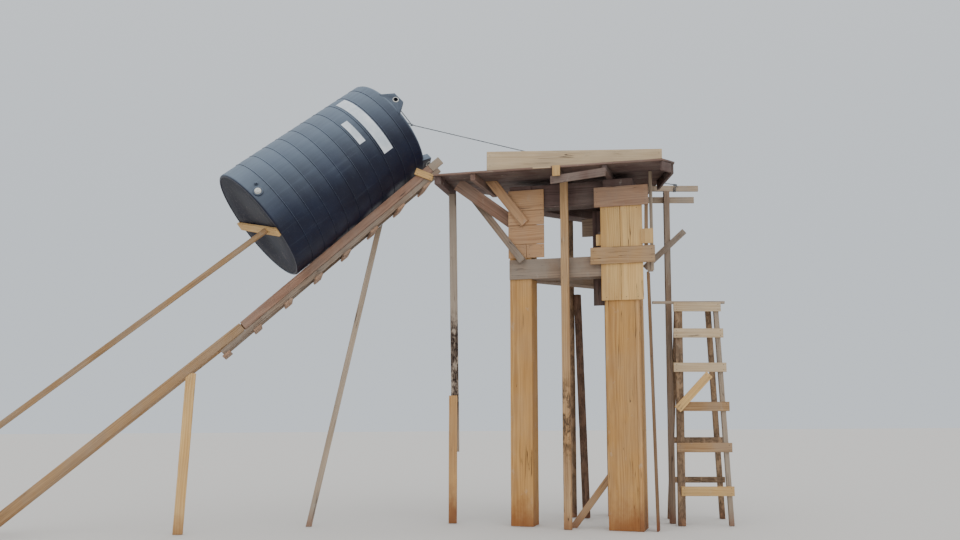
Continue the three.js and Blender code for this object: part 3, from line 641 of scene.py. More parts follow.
def rearColumnLook(spot):
    return "greyBrown" if spot.z > tower["shaftTop"] else "dustyTan"


def leftHeadCuts():
    cuts = sum((seam(up, high) for high in tower["leftHeadSeams"]), [])
    return cuts + seam(facadeWay, *tower["leftHeadUpright"])


def plankCuts(side):
    cuts = [(deckInward, deckFront + tower["deckEdge"])]
    for step in range(tower["deckPlanks"]):
        cuts += seam(deckInward, deckFront + tower["plankShift"][side] + tower["deckPlank"] * step)
    return cuts


def plankLook(spot):
    # the planks behind the front edge get the painted-shade look of the deck's underside
    return "redEdge" if spot.dot(deckInward) < deckFront + tower["deckEdge"] else "darkDamp"


upstand = {
    "middle": 5.3453, "broad": 0.29, "thin": 0.025,
    "runs": [((-0.683, -0.500), (1.800, -1.200), (0.27, 0.96, 0)),
             ((-0.672, -0.484), (-0.560, -0.140), (0.96, -0.27, 0))],
}


def upstandBoards():
    return [layBoard((*start, upstand["middle"]), (*end, upstand["middle"]), upstand["broad"], upstand["thin"], face)
            for start, end, face in upstand["runs"]]


ramp = {"foot": -7.41, "climb": 42.2, "cleatTop": 0.2047, "chordFoot": 0.2056, "headAt": 2.488}
rampUp = Vector((-math.sin(math.radians(ramp["climb"])), 0, math.cos(math.radians(ramp["climb"]))))
rampAlong = Vector((rampUp.z, 0, -rampUp.x))
rampLevel = rampUp.dot(Vector((ramp["foot"], 0, 0)))
chordFoot, cleatTop = rampLevel - ramp["chordFoot"], rampLevel - ramp["cleatTop"]


def railLook(spot):
    return "paleGrey" if spot.dot(rampAlong) > ramp["headAt"] else "redSawn"


def latticeLook(spot):
    return "stainedPinkTan" if spot.dot(rampUp) < chordFoot else "greyBrown"


tank = {
    "matrix": Matrix(((0.647599, -0.09413, 0.756145, -3.975524), (-0.00411, 0.991894, 0.126998, 0.041),
                      (-0.76197, -0.085352, 0.641963, 4.333057), (0, 0, 0, 1))),
    "baseRadius": 0.893,
    "topRadius": 0.823,
    "wallLong": 2.497,
    "shell": 0.014,
    "skin": 0.001,  # how far the wall lies under the solid's face
    "foot": 0.025,  # radius of the rolled foot
    "gap": 0.0005,
    "wallFrom": 0.03,
    "ribs": 10,
    "firstRib": 0.285,
    "ribPitch": 0.232,
    "ribRadius": 0.0075,
    "bandSwell": 0.006,
    "pushBoard": 0.041,  # board between the base and the pushing prop
}
tankAxis = tank["matrix"].to_3x3() @ up
pushFace = tankAxis.dot(tank["matrix"].translation) - tank["pushBoard"]


def pushLook(spot):
    return "dustyTan" if spot.dot(tankAxis) < pushFace else "freshTan"


ladder = {
    "at": Vector((2.2, -0.567, 0)),
    "turn": -12,
    "high": 3.27,
    "leg": 0.075,
    "spread": 0.88,
    "frontLegs": [(0.025, 0.060, 0.11), (0.755, 0.620, 0.07)],  # foot, head, broad
    "rearLegs": [(0.0153, 0.0503, 0.06), (0.84, 0.52, 0.08)],
    "headGap": 0.0003,
    "rungs": [(3.150, -0.025, 0.690), (2.756, -0.035, 0.715), (2.244, -0.045, 0.745), (1.665, 0.0, 0.770),
              (1.064, -0.025, 0.790), (0.432, 0.020, 0.800)],  # underside, left, right
    "rungHigh": 0.14,
    "rungThick": 0.025,
    "rearBars": [(0.61, 0.6952, -0.01, 0.85), (1.22, 0.5368, 0.0, 0.80)],  # middle, back, left, right
    "barHigh": 0.09,
    "barThick": 0.06,
    "legsSplit": 0.3,  # left leg before it, right leg after it
    "paleFrom": 2.2,
    "freshBelow": 0.6,
}
ladderWay, ladderBack = wayOf(ladder["turn"]), wayOf(ladder["turn"] + 90)


def onLadder(run, back, high):
    return ladder["at"] + ladderWay * run + ladderBack * back + up * high


def ladderLegs(legs, footBack, headBack):
    forms = []
    for foot, head, broad in legs:
        foot, head = onLadder(foot, footBack, 0), onLadder(head, headBack, ladder["high"])
        forms.append(blockOf(foot, head, ladderWay * broad, ladderBack * ladder["leg"], head - foot))
    return forms


def ladderBars(bars, broad, thin):
    return [layBoard(onLadder(left, back, high), onLadder(right, back, high), broad, thin, ladderBack)
            for high, back, left, right in bars]


def frontLadderBoards():
    depth = -(ladder["leg"] + ladder["rungThick"]) / 2
    rungs = [(low + ladder["rungHigh"] / 2, depth, left, right) for low, left, right in ladder["rungs"]]
    return ladderLegs(ladder["frontLegs"], 0, 0) + ladderBars(rungs, ladder["rungHigh"], ladder["rungThick"])


def rearLadderBoards():
    return (ladderLegs(ladder["rearLegs"], ladder["spread"], ladder["leg"] + ladder["headGap"])
            + ladderBars(ladder["rearBars"], ladder["barHigh"], ladder["barThick"]))


def ladderLook(spot):
    spot = spot - ladder["at"]
    if spot.dot(ladderBack) > -ladder["leg"] / 2:  # a leg, behind the rungs
        return "greyBark" if spot.dot(ladderWay) < ladder["legsSplit"] else "paleGrey"
    if spot.z > ladder["paleFrom"]:
        return "paleBeige"
    return "freshTan" if spot.z < ladder["freshBelow"] else "dustyTan"


def alike(look, *nodes, **more):
    return {node: {"look": look, **more} for node in nodes}


longBoard = {"edge": 0.005, "rough": 0.003}
thickTimber = {"edge": 0.007, "rough": 0.004, "chip": 0.012}
plankWear = {"edge": 0.003, "rough": 0.0035, "chip": 0.02, "pitch": 0.16, "acrossPitch": 0.12}
barkWear = {"edge": 0.014, "rough": 0.005, "chip": 0.008, "pitch": 0.06, "acrossPitch": 0.03}
# the order of the nodes gives each its own seed
timbers = {
    **alike("shaftTan", "left_column_form", lookAt=columnLook, cuts=columnCuts("left"), wear=longBoard),
    **alike("shaftTan", "right_column_form", lookAt=columnLook, wear=longBoard,
            cuts=[(facadeWay, tower["packingFrom"])] + columnCuts("right")),
    **alike("dustyTan", "rear_column_form", lookAt=rearColumnLook, cuts=columnCuts("rear"), wear=longBoard),
    **alike("greyBrown", "front_tie_beam_form", "left_tie_beam_form", "right_tie_beam_form",
            cuts=[(up, tower["tieFloor"])]),
    # painted shade on the deck beam forms under the deck
    **alike("darkDamp", "front_deck_beam_form", "left_deck_beam_form", "right_deck_beam_form",
            cuts=[(up, tower["deckFloor"])]),
    **alike("pinkTan", "left_head_boards", cuts=leftHeadCuts(), nails=True),
    **alike("freshTan", "right_head_boards", cuts=seam(facadeWay, tower["rightHeadSeam"]), nails=True),
    **alike("greyBrown", "front_tie_face_board", nails=True),
    # painted shade on the back board, which stands in the deck's shadow
    **alike("darkDamp", "right_back_board"),
    **alike("stainedPinkTan", "right_top_collar", nails=True, wear={"chip": 0.03}),
    **alike("dustyTan", "right_middle_collar", nails=True, wear={"chip": 0.02}),
    **alike("redEdge", "left_deck_joist"),
    # painted shade on the joists, the end beam and the planks under the deck
    **alike("darkDamp", "middle_deck_joist", "right_deck_joist", "deck_end_beam"),
    **alike("darkDamp", "deck_planks_left", lookAt=plankLook, cuts=plankCuts("left"), way=deckWay,
            wear=plankWear),
    **alike("darkDamp", "deck_planks_right", lookAt=plankLook, cuts=plankCuts("right"), way=deckWay,
            wear=plankWear),
    **alike("paleBeige", "front_upstand", boards=upstandBoards, nails=True, wear=longBoard),
    **alike("paleBeige", "rear_upstand", nails=True, wear=longBoard),
    **alike("paleGrey", "needle_board", "lower_needle_board"),
    **alike("greyBrown", "right_post", wear=thickTimber),
    **alike("tanPole", "middle_prop", wear=thickTimber),
    **alike("soiledTan", "left_prop_lower", wear=thickTimber),
    **alike("peeledPole", "left_prop_upper", wear=barkWear),
    **alike("pinkTan", "front_strut", nails=True, nailInset=0.13),
    **alike("redSawn", "wide_strut", wear=thickTimber),
    **alike("greyBrown", "grey_strut"),
    # painted shade on the ledger under the deck
    **alike("dampTan", "deck_ledger", nails=True),
    **alike("greyBark", "rear_pole", wear=thickTimber),
    **alike("brownPole", "leaning_pole", wear=barkWear),
    **alike("dustyTan", "foot_brace"),
    **alike("brownTan", "right_raking_board"),
    **alike("paleGrey", "right_hanger", cuts=[(up, tower["hangerBlock"])]),
    **alike("greyBrown", "right_diagonal_brace", nails=True),
    **alike("dustyTan", "near_rail_lower", wear=thickTimber),
    **alike("redSawn", "near_rail_upper", lookAt=railLook, cuts=[(rampAlong, ramp["headAt"])], wear=thickTimber),
    **alike("dustyTan", "near_rail_splice", "far_rail_lower", wear=thickTimber),
    **alike("redSawn", "far_rail_upper", wear=thickTimber),
    **alike("greyBrown", "ramp_cleats_and_chords", lookAt=latticeLook, wear=thickTimber,
            cuts=[(rampUp, chordFoot), (rampUp, cleatTop)]),
    **alike("freshTan", "ramp_head_cleat", nails=True),
    **alike("freshTan", "ramp_post", wear=thickTimber),
    **alike("paleGrey", "ramp_raking_prop", wear=thickTimber),
    **alike("dustyTan", "ladder_front_frame", lookAt=ladderLook, boards=frontLadderBoards, nails=True),
    **alike("greyBark", "ladder_rear_frame", boards=rearLadderBoards),
    **alike("paleGrey", "ladder_top_bar"),
    **alike("freshTan", "ladder_diagonal_plank", nails=True),
    **alike("freshTan", "push_prop", lookAt=pushLook, cuts=[(tankAxis, pushFace)], wear=longBoard),
}
for order, (node, spec) in enumerate(timbers.items()):
    forms = spec["boards"]() if "boards" in spec else boardsOf(node, spec.get("cuts", ()))
    addTimber(node + "_timber", forms, spec, random.Random(41 + order), node)
print("timber dressed:", len(timbers), "pieces")

# short offcuts nailed on beside the larger boards: ends of the middle line, broad, thin, the way the face looks
offcuts = {
    "deck_edge_sliver": ("paleBeige", (-0.082, -0.869, 5.186), (0.156, -0.997, 5.180), 0.026, 0.012, deckInward),
    "deck_edge_block": ("freshTan", (0.225, -1.038, 5.042), (0.225, -1.038, 5.199), 0.115, 0.022, deckInward),
    # the deck's side and corner fascias take the painted-shade look
    "deck_side_fascia": ("darkDamp", (1.8055, -1.537, 5.1025), (2.013, -0.508, 5.1025), 0.135, 0.04,
                         (0.98, -0.198, 0)),
    "deck_corner_fascia": ("darkDamp", (1.567, -1.706, 5.1025), (1.749, -1.601, 5.1025), 0.135, 0.04,
                           (0.5, -0.866, 0)),
    "narrow_head_board": ("brownTan", (1.5369, -1.1460, 3.95), (1.5551, -1.1565, 4.90), 0.055, 0.024, outWay),
    "left_collar_block": ("freshTan", (0.958, -0.752, 4.087), (0.958, -0.752, 4.255), 0.085, 0.03, outWay),
    "right_collar_block": ("freshTan", (1.5440, -1.1824, 4.075), (1.5440, -1.1824, 4.293), 0.175, 0.03, outWay),
    "back_board_block": ("greyBrown", (0.880, -0.200, 4.448), (1.129, -0.344, 4.448), 0.28, 0.025, outWay),
}
for order, (name, (look, *shape)) in enumerate(offcuts.items()):
    addTimber(name, [layBoard(*shape)], {"look": look}, random.Random(7 + order))
print("offcuts:", len(offcuts))

plasticLooks = {
    # the tank's lighter blue-grey on upward faces is partly dust and partly a painted sheen of the bright sky; the
    # same tint also colours streaks and scuffs
    "tankPlastic": {"deep": (7, 13, 38), "light": (13, 23, 50), "dustAndSheenTint": (134, 151, 168), "dust": 0.72,
                    "dustAndSheenLow": -0.3, "streak": (16, 16, 0.9), "streaks": 0.06, "scuffs": 0.05, "rough": 0.36,
                    "shine": 0.36},
    "tankBasePlastic": {"deep": (18, 21, 36), "light": (36, 37, 52), "dustAndSheenTint": (108, 100, 102), "dust": 0.2,
                        "dustAndSheenLow": -0.1, "streak": (2.4, 9, 5), "streaks": 0.5, "scuffs": 0.4, "rough": 0.5,
                        "shine": 0.2},
}
plainLooks = {  # darker and lighter colour, roughness, scale and depth of the grit
    "labelSheet": ((196, 206, 214), (228, 232, 236), 0.35, 60, 0.2),
    "whitePlug": ((196, 196, 190), (226, 226, 220), 0.35, 60, 0.2),
    "rawConcrete": ((112, 108, 100), (158, 153, 143), 0.75, 90, 0.6),
    "laidRope": ((96, 104, 112), (156, 160, 164), 0.8, 220, 0.6),
    "nailSteel": ((54, 40, 34), (106, 96, 90), 0.45, 400, 0.2),
}


def plasticFinish(name, look):
    material, tree, shader = startMaterial(name)
    spot = attributeOf(tree, "place")
    cloud = noiseOf(spot, (2.2, 2.2, 1.4), 4.0, 0.6)
    streak = noiseOf(spot, look["streak"], 3.0, 0.6)
    scuff = offMiddle(noiseOf(spot, (7, 7, 30)))
    # faces looking up turn lighter, as dust and as a painted sheen of the bright sky; faces looking down keep the
    # dark colour
    rise = heightOf(shaderNode(tree, "TexCoord").outputs["Normal"])
    dustAndSheenMask = times(fade(rise, look["dustAndSheenLow"], 1.0), fade(streak, 0.25, 0.7, 0.84, 1.0))
    color = mixColor(fade(cloud, 0.35, 0.7), linear(look["deep"]), linear(look["light"]))
    for amount in (times(dustAndSheenMask, look["dust"]), fade(streak, 0.60, 0.76, 0.0, look["streaks"]),
                   fade(scuff, 0.010, 0.002, 0.0, look["scuffs"])):
        color = mixColor(amount, color, linear(look["dustAndSheenTint"]))
    roughness = timesPlus(cloud, 0.15, timesPlus(dustAndSheenMask, 0.2, look["rough"]))
    speck = noiseOf(spot, (150, 150, 150))
    finishShader(shader, color, roughness, speck, 0.12, 0.0015, look["shine"])
    return material


def plainFinish(name, first, second, rough, fine, bump):
    material, tree, shader = startMaterial(name)
    spot = shaderNode(tree, "TexCoord").outputs["Object"]
    cloud = noiseOf(spot, (4, 4, 4), 5.0, 0.65)
    grit = noiseOf(spot, (fine, fine, fine), 3.0, 0.6)
    color = mixColor(fade(cloud, 0.32, 0.7), linear(first), linear(second))
    color = mixColor(fade(grit, 0.62, 0.8, 0.0, 0.4), color, linear(first))
    finishShader(shader, color, timesPlus(grit, 0.25, rough), grit, bump, 0.002)
    return material


finishes = {name: plasticFinish(name, look) for name, look in plasticLooks.items()}
finishes.update({name: plainFinish(name, *look) for name, look in plainLooks.items()})
painted(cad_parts["concrete_frame"].data, finishes["rawConcrete"])


def wallRadius(along):
    return tank["baseRadius"] - (tank["baseRadius"] - tank["topRadius"]) * along / tank["wallLong"]


def tankWay(angle):
    return Vector((math.cos(math.radians(angle)), -math.sin(math.radians(angle)), 0))


def standing(way):  # turns a shape's z to look along the way, and its y up
    return Matrix((up.cross(way), up, way)).transposed().to_4x4()


def addTankPiece(name, form, finish, *nodes, matrix=tank["matrix"]):
    spots = [value for vert in form.verts for value in vert.co]
    form.transform(matrix)
    mesh = bpy.data.meshes.new(name)
    form.to_mesh(mesh)
    form.free()
    mesh.attributes.new("place", "FLOAT_VECTOR", "POINT").data.foreach_set("vector", spots)
    mesh.shade_smooth()
    mesh.set_sharp_from_angle(angle=math.radians(32))
    slot = "tank_plastic" if finish in plasticLooks else "white_plastic"
    settle(name, painted(mesh, finishes[finish]), slot, *nodes)


def turnPiece(name, profile, around, finish, *nodes, matrix=tank["matrix"], closed=True):
    form = bmesh.new()
    rows = []
    for step in range(around):
        turn = 2 * math.pi * step / around
        rows.append([form.verts.new((radius * math.cos(turn), radius * math.sin(turn), along))
                     for radius, along in profile])
    count = len(profile)
    for step in range(around):
        here, there = rows[step], rows[(step + 1) % around]
        for index in range(count if closed else count - 1):
            after = (index + 1) % count
            form.faces.new((here[index], there[index], there[after], here[after]))
    bmesh.ops.remove_doubles(form, verts=form.verts, dist=1e-5)
    bmesh.ops.dissolve_degenerate(form, dist=1e-6, edges=form.edges)
    bmesh.ops.recalc_face_normals(form, faces=form.faces)
    addTankPiece(name, form, finish, *nodes, matrix=matrix)


def makeWall(rows=150):
    base, top, foot = tank["baseRadius"], tank["topRadius"], tank["foot"]
    middle, start = base - tank["skin"] - foot, tank["wallFrom"]
    outside = [(middle, tank["gap"])]
    for step in range(7):
        turn = math.radians(90 * step / 6)
        outside.append((middle + foot * math.sin(turn), foot - foot * math.cos(turn)))
    for row in range(1, rows + 1):
        along = start + (tank["wallLong"] - start) * row / rows
        swing = ((along - tank["firstRib"]) / tank["ribPitch"]) % 1
        swell = tank["bandSwell"] * math.sin(math.pi * swing) if along > tank["firstRib"] else 0
        outside.append((wallRadius(along) - tank["skin"] + swell, along))
    inner = middle - tank["shell"]
    inside = [(top - tank["shell"], tank["wallLong"]), (inner, start), (inner, tank["gap"])]
    turnPiece("tank_wall_shell", outside + inside, 160, "tankPlastic", "tank_wall")


def newSocket(tree, label, kind, side="INPUT"):
    tree.interface.new_socket(name=label, in_out=side, socket_type="NodeSocket" + kind)


# grows a mesh from a node tree; build makes the tree's own nodes from the named inputs and returns the last
def grown(name, build, sizes, finish, mesh=None):
    tree = bpy.data.node_groups.new(name, "GeometryNodeTree")
    newSocket(tree, "Geometry", "Geometry", "OUTPUT")
    if mesh:
        newSocket(tree, "Geometry", "Geometry")
    for label, value in sizes.items():
        newSocket(tree, label, "Int" if isinstance(value, int) else "Float")
    newSocket(tree, "Material", "Material")
    given = newNode(tree, "NodeGroupInput").outputs
    real = geoNode(tree, "RealizeInstances", {0: build(tree, given)})
    smooth = geoNode(tree, "SetShadeSmooth", {0: real})
    coated = geoNode(tree, "SetMaterial", {"Geometry": smooth, "Material": given["Material"]})
    newNode(tree, "NodeGroupOutput", {0: coated})
    carrier = linked(name + "Carrier", mesh or bpy.data.meshes.new(name + "Seed"))
    modifier = carrier.modifiers.new("grow", "NODES")
    modifier.node_group = tree
    values = {**sizes, "Material": finishes[finish]}
    for item in tree.interface.items_tree:
        if item.in_out == "INPUT" and item.name in values:
            modifier[item.identifier] = values[item.name]
    carrier.update_tag()
    bpy.context.view_layer.update()
    made = bpy.data.meshes.new_from_object(carrier.evaluated_get(bpy.context.evaluated_depsgraph_get()))
    carrier.modifiers.remove(modifier)
    bpy.data.objects.remove(carrier)
    made.name = name
    return made


def ribNodes(tree, given):
    first = shaderNode(tree, "CombineXYZ", {2: given["First"]})
    pitch = shaderNode(tree, "CombineXYZ", {2: given["Pitch"]})
    line = geoNode(tree, "MeshLine", {"Count": given["Count"], "Start Location": first, "Offset": pitch})
    high = heightOf(geoNode(tree, "InputPosition"))
    radius = calc("SUBTRACT", given["Radius"], times(high, given["Taper"]))
    size = shaderNode(tree, "CombineXYZ", {0: radius, 1: radius, 2: 1.0})
    hoop = geoNode(tree, "CurvePrimitiveCircle", {"Resolution": 160, "Radius": 1.0})
    hoops = geoNode(tree, "InstanceOnPoints", {"Points": line, "Instance": hoop, "Scale": size})
    real = geoNode(tree, "RealizeInstances", {0: hoops})
    bead = geoNode(tree, "CurvePrimitiveCircle", {"Resolution": 12, "Radius": given["Rib radius"]})
    return geoNode(tree, "CurveToMesh", {"Curve": real, "Profile Curve": bead})


def makeRibs():
    slope = (tank["baseRadius"] - tank["topRadius"]) / tank["wallLong"]
    mesh = grown("tankRibs", ribNodes, {
        "Count": tank["ribs"], "First": tank["firstRib"], "Pitch": tank["ribPitch"], "Taper": slope,
        "Radius": tank["baseRadius"] - tank["skin"], "Rib radius": tank["ribRadius"]}, "tankPlastic")
    form = bmesh.new()
    form.from_mesh(mesh)
    bmesh.ops.recalc_face_normals(form, faces=form.faces)
    addTankPiece("tank_wall_ribs", form, "tankPlastic", "tank_wall")


makeWall()
makeRibs()
print("tank wall and ribs made")

roof = {"start": 2.4973, "shoulder": 0.055, "rise": 0.15, "neck": 0.24, "neckHigh": 0.06, "lidRadius": 0.26,
        "lidGap": 0.0003, "grips": 40, "gripDeep": 0.004, "gripSize": (0.007, 0.022), "gripMiddle": 0.013}


def makeRoofAndBase():
    edge, start, shoulder, neck = tank["topRadius"] - tank["skin"], roof["start"], roof["shoulder"], roof["neck"]
    outside = [(edge, start)]
    for step in range(1, 9):
        turn = math.radians(90 * step / 8)
        outside.append((edge - shoulder + shoulder * math.cos(turn), start + shoulder * math.sin(turn)))
    for step in range(1, 15):
        part = step / 14
        outside.append((edge - shoulder + (neck + 0.02 - edge + shoulder) * part,
                        start + shoulder + (roof["rise"] - shoulder) * part ** 0.9))
    top, inner = start + roof["rise"], neck - tank["shell"]
    outside += [(neck, top + 0.012), (neck, top + roof["neckHigh"]), (inner, top + roof["neckHigh"]),
                (inner, top - 0.012), (0.75, start + 0.03), (tank["topRadius"] - tank["shell"], start)]
    turnPiece("tank_dome", outside, 128, "tankPlastic", "tank_roof")
    rim = tank["baseRadius"] - tank["shell"] - tank["foot"] - tank["gap"]
    dish = [(0, 0.022), (0.30, 0.0215), (0.312, 0.016), (0.55, 0.0135), (0.562, 0.0085), (rim - 0.1, 0.0065),
            (rim, 0.0065), (rim, 0.022), (rim - 0.1, 0.024), (0, 0.038)]
    turnPiece("tank_base_dish", dish, 128, "tankBasePlastic", "tank_base", closed=False)


makeRoofAndBase()

# lifting ears round the roof, each with an eye and a white ring on both sides of it
ears = {"angles": (14, 104, 194, 284), "wide": 0.44, "topWide": 0.20, "thick": 0.10, "high": 0.195,
        "radius": 0.755, "eye": 0.034, "up": 0.128, "round": 0.007, "sunk": 0.001, "rope": 0.004,
        "ring": [(0.035, 0.001), (0.045, 0.001), (0.045, 0.006), (0.041, 0.009), (0.035, 0.009)]}


def earShape():
    shape, edge = bpy.data.curves.new("earShape", "CURVE"), ears["round"]
    shape.dimensions, shape.fill_mode = "2D", "BOTH"
    shape.extrude, shape.bevel_depth, shape.bevel_resolution = ears["thick"] / 2 - edge, edge, 2
    half, top, eye = ears["wide"] / 2 - edge, ears["topWide"] / 2 - edge, ears["eye"] + edge
    outline = [(-half, edge), (half, edge), (top, ears["high"] - edge), (-top, ears["high"] - edge)]
    turns = [math.pi * step / 12 for step in range(24)]
    hole = [(math.cos(turn) * eye, ears["up"] + math.sin(turn) * eye) for turn in turns]
    for points in (outline, hole):
        spline = shape.splines.new("POLY")
        spline.points.add(len(points) - 1)
        for point, (x, y) in zip(spline.points, points):
            point.co = (x, y, 0, 1)
        spline.use_cyclic_u = True
    return shape


def makeEars():
    carrier = linked("earCarrier", earShape())
    mesh = bpy.data.meshes.new_from_object(carrier.evaluated_get(bpy.context.evaluated_depsgraph_get()))
    bpy.data.objects.remove(carrier)
    form = bmesh.new()
    for angle in ears["angles"]:
        way, ear = tankWay(angle), mesh.copy()
        ear.transform(Matrix.Translation(way * ears["radius"] + up * roof["start"]) @ standing(way))
        form.from_mesh(ear)
    bmesh.ops.remove_doubles(form, verts=form.verts, dist=1e-5)
    bmesh.ops.recalc_face_normals(form, faces=form.faces)
    addTankPiece("tank_ears", form, "tankPlastic", "tank_roof")


def makeEyeRings():
    for index, angle in enumerate(ears["angles"]):
        for side, label in ((-1, "inner"), (1, "outer")):
            out = ears["radius"] + side * (ears["thick"] / 2 - ears["sunk"])
            at = Matrix.Translation(tankWay(angle) * out + up * (roof["start"] + ears["up"]))
            turnPiece(f"ear_eye_ring_{index + 1}{label}", ears["ring"], 36, "whitePlug",
                      matrix=tank["matrix"] @ at @ standing(tankWay(angle) * side))


makeEars()
makeEyeRings()


def gripNodes(tree, given):
    ring = geoNode(tree, "CurvePrimitiveCircle", {"Resolution": given["Count"], "Radius": given["Radius"]})
    turn = newNode(tree, "FunctionNodeAlignRotationToVector", {"Vector": geoNode(tree, "InputPosition")}, axis="X")
    size = shaderNode(tree, "CombineXYZ", {0: given["Width"], 1: given["Width"], 2: given["Height"]})
    grip = geoNode(tree, "MeshCube", {"Size": size, "Vertices X": 2, "Vertices Y": 3, "Vertices Z": 2})
    return geoNode(tree, "InstanceOnPoints", {"Points": ring, "Instance": grip, "Rotation": turn})


def makeLid():
    low = roof["start"] + roof["rise"] + roof["neckHigh"] + roof["lidGap"]
    rim = roof["lidRadius"] - roof["gripDeep"]
    profile = [(0, 0), (rim, 0), (rim, 0.026), (rim - 0.006, 0.030), (rim - 0.05, 0.046), (rim - 0.09, 0.050),
               (rim - 0.1, 0.045), (0.05, 0.048), (0, 0.053)]
    turnPiece("tank_lid_cap", [(radius, low + along) for radius, along in profile], 96, "tankPlastic", "tank_lid",
              closed=False)
    wide, high = roof["gripSize"]
    grips = grown("lidGrips", gripNodes, {"Count": roof["grips"], "Radius": rim, "Width": wide, "Height": high},
                  "tankPlastic")
    form = bmesh.new()
    form.from_mesh(grips)
    form.transform(Matrix.Translation((0, 0, low + roof["gripMiddle"])))
    addTankPiece("tank_lid_grips", form, "tankPlastic", "tank_lid")


makeLid()

# two bare sheets stuck on the wall, the outlet with its ring, and a small tapping
fittings = {
    "sheets": [("upper", 1.945, 2.110, 65.5, 145), ("lower", 1.708, 1.818, 87, 115)],  # heights, angles
    "standOff": 0.0082,
    "sheetThick": 0.0012,
    "outlet": (0.112, 106.5),  # height, angle
    "tapping": (0.172, 114),
    "ringShape": [(0.052, 0), (0.074, 0), (0.074, 0.006), (0.068, 0.010), (0.052, 0.010)],
    "plugShape": [(0, 0.001), (0.047, 0.001), (0.047, 0.020), (0.044, 0.024), (0.036, 0.024), (0.036, 0.034),
                  (0.033, 0.039), (0.012, 0.039), (0.010, 0.034), (0, 0.034)],
    "tappingShape": [(0, 0), (0.030, 0), (0.030, 0.008), (0.020, 0.011), (0.020, 0.026), (0.016, 0.030),
                     (0, 0.030)],
}


def makeSheets():
    for label, low, high, first, last in fittings["sheets"]:
        form = bmesh.new()
        heights = [low + (high - low) * part / 3 for part in range(4)]
        loop = [(fittings["standOff"], along) for along in heights]
        loop += [(fittings["standOff"] - fittings["sheetThick"], along) for along in reversed(heights)]
        rows = []
        for step in range(41):
            way = tankWay(first + (last - first) * step / 40)
            rows.append([form.verts.new(way * (wallRadius(along) + off) + up * along) for off, along in loop])
        for here, there in zip(rows, rows[1:]):
            for index in range(len(loop)):
                after = (index + 1) % len(loop)
                form.faces.new((here[index], here[after], there[after], there[index]))
        form.faces.new(rows[0])
        form.faces.new(rows[-1])
        bmesh.ops.recalc_face_normals(form, faces=form.faces)
        addTankPiece(label + "_bare_sheet", form, "labelSheet")


def onWall(along, angle):
    way = tankWay(angle)
    return tank["matrix"] @ Matrix.Translation(way * wallRadius(along) + up * along) @ standing(way)


def makeFittings():
    outlet = onWall(*fittings["outlet"])
    turnPiece("outlet_ring", fittings["ringShape"], 48, "tankPlastic", matrix=outlet)
    turnPiece("outlet_plug", fittings["plugShape"], 48, "whitePlug", "tank_outlet", matrix=outlet, closed=False)
    turnPiece("small_tapping", fittings["tappingShape"], 32, "tankPlastic", matrix=onWall(*fittings["tapping"]),
              closed=False)


makeSheets()
makeFittings()
print("tank finished")

# laid rope from the two upper ears to one knot, over the deck's lip and round the needle board; a coil's turns,
# radius and length
rope = {"strand": 0.0052, "twists": 22.0, "step": 0.02, "ears": (104, 194), "knot": Vector((-1.75, -0.06, 5.964)),
        "lip": Vector((2.12, -0.262, 5.214)), "tie": Vector((2.2, -0.27, 5.1809)), "tieAlong": 0.18, "tieDrop": 0.055,
        "knotCoil": (3, 0.01155, 0.03), "eyeCoil": (2, 0.0126, 0.022), "tieCoil": (2, 0.058, 0.05)}


def ropeNodes(tree, given):
    path = geoNode(tree, "MeshToCurve", {0: given["Geometry"]})
    path = geoNode(tree, "ResampleCurve", {"Curve": path, "Length": given["Step"]}, mode="LENGTH")
    length = geoNode(tree, "SplineParameter").outputs["Length"]
    turn = times(times(length, given["Twists"]), math.tau)
    path = geoNode(tree, "SetCurveTilt", {"Curve": path, "Tilt": turn})
    strand = geoNode(tree, "CurvePrimitiveCircle", {"Resolution": 7, "Radius": given["Strand"]})
    lay = geoNode(tree, "JoinGeometry")
    for index in range(3):
        angle = math.tau * index / 3
        shift = scaled((math.cos(angle), math.sin(angle), 0.0), times(given["Strand"], 1.08))
        moved = geoNode(tree, "Transform", {"Geometry": strand, "Translation": shift})
        tree.links.new(moved.outputs[0], lay.inputs[0])
    return geoNode(tree, "CurveToMesh", {"Curve": path, "Profile Curve": lay, "Fill Caps": True})


def ropePath(lines):
    mesh = bpy.data.meshes.new("ropePath")
    verts, edges = [], []
    for points in lines:
        first = len(verts)
        verts += points
        edges += [(first + index, first + index + 1) for index in range(len(points) - 1)]
    mesh.from_pydata(verts, edges, [])
    return mesh


def coilAround(middle, way, turns, radius, rise, fine=14):
    way = way.normalized()
    side = way.cross(up).normalized()
    other = way.cross(side)
    points = []
    for step in range(int(turns * fine) + 1):
        turn = math.tau * step / fine
        points.append(middle + side * math.cos(turn) * radius + other * math.sin(turn) * radius
                      + way * (rise * (step / (turns * fine) - 0.5)))
    return points


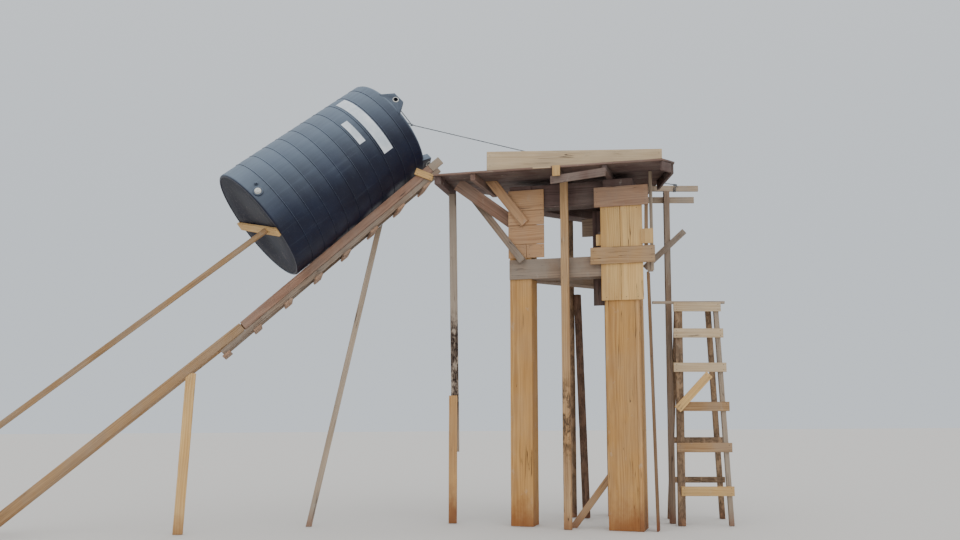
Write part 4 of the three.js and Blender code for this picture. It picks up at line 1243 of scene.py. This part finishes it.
def eyeOf(angle):
    out = ears["radius"] - ears["thick"] / 2 - ears["rope"]
    return tank["matrix"] @ (tankWay(angle) * out + up * (roof["start"] + ears["up"]))


def makeRope():
    knot, tie = rope["knot"], rope["tie"] + ladderWay * rope["tieAlong"]
    eyes = [eyeOf(angle) for angle in rope["ears"]]
    lines = [[eye, knot] for eye in eyes] + [[knot, rope["lip"], tie]]
    lines.append(coilAround(knot, rope["lip"] - knot, *rope["knotCoil"]))
    lines += [coilAround(eye, knot - eye, *rope["eyeCoil"]) for eye in eyes]
    lines.append(coilAround(tie - up * rope["tieDrop"], ladderWay, *rope["tieCoil"]))
    mesh = grown("haulRope", ropeNodes, {"Strand": rope["strand"], "Twists": rope["twists"], "Step": rope["step"]},
                 "laidRope", ropePath(lines))
    settle("haul_rope_laid", painted(mesh, finishes["laidRope"]), "rope", "haul_rope")


makeRope()
print("rope laid")

nails = {"Radius": 0.0055, "Height": 0.003, "Seed": 7}


def nailNodes(tree, given):
    head = geoNode(tree, "MeshCone", {"Vertices": 10, "Radius Top": times(given["Radius"], 0.7),
                                      "Radius Bottom": given["Radius"], "Depth": given["Height"]})
    facing = geoNode(tree, "InputNamedAttribute", {"Name": "facing"}, data_type="FLOAT_VECTOR")
    turn = newNode(tree, "FunctionNodeAlignRotationToVector", {"Vector": facing}, axis="Z")
    size = newNode(tree, "FunctionNodeRandomValue", {2: 0.85, 3: 1.15, "Seed": given["Seed"]}, data_type="FLOAT")
    return geoNode(tree, "InstanceOnPoints", {"Points": given["Geometry"], "Instance": head, "Rotation": turn,
                                              "Scale": size.outputs[1]})


def makeNails():
    mesh = bpy.data.meshes.new("nailPoints")
    mesh.from_pydata([spot for spot, _ in nailPoints], [], [])
    ways = [value for _, way in nailPoints for value in way]
    mesh.attributes.new("facing", "FLOAT_VECTOR", "POINT").data.foreach_set("vector", ways)
    made = grown("nailHeads", nailNodes, nails, "nailSteel", mesh)
    settle("nail_heads", painted(made, finishes["nailSteel"]), "dark_boards")


makeNails()
print("nails:", len(nailPoints))
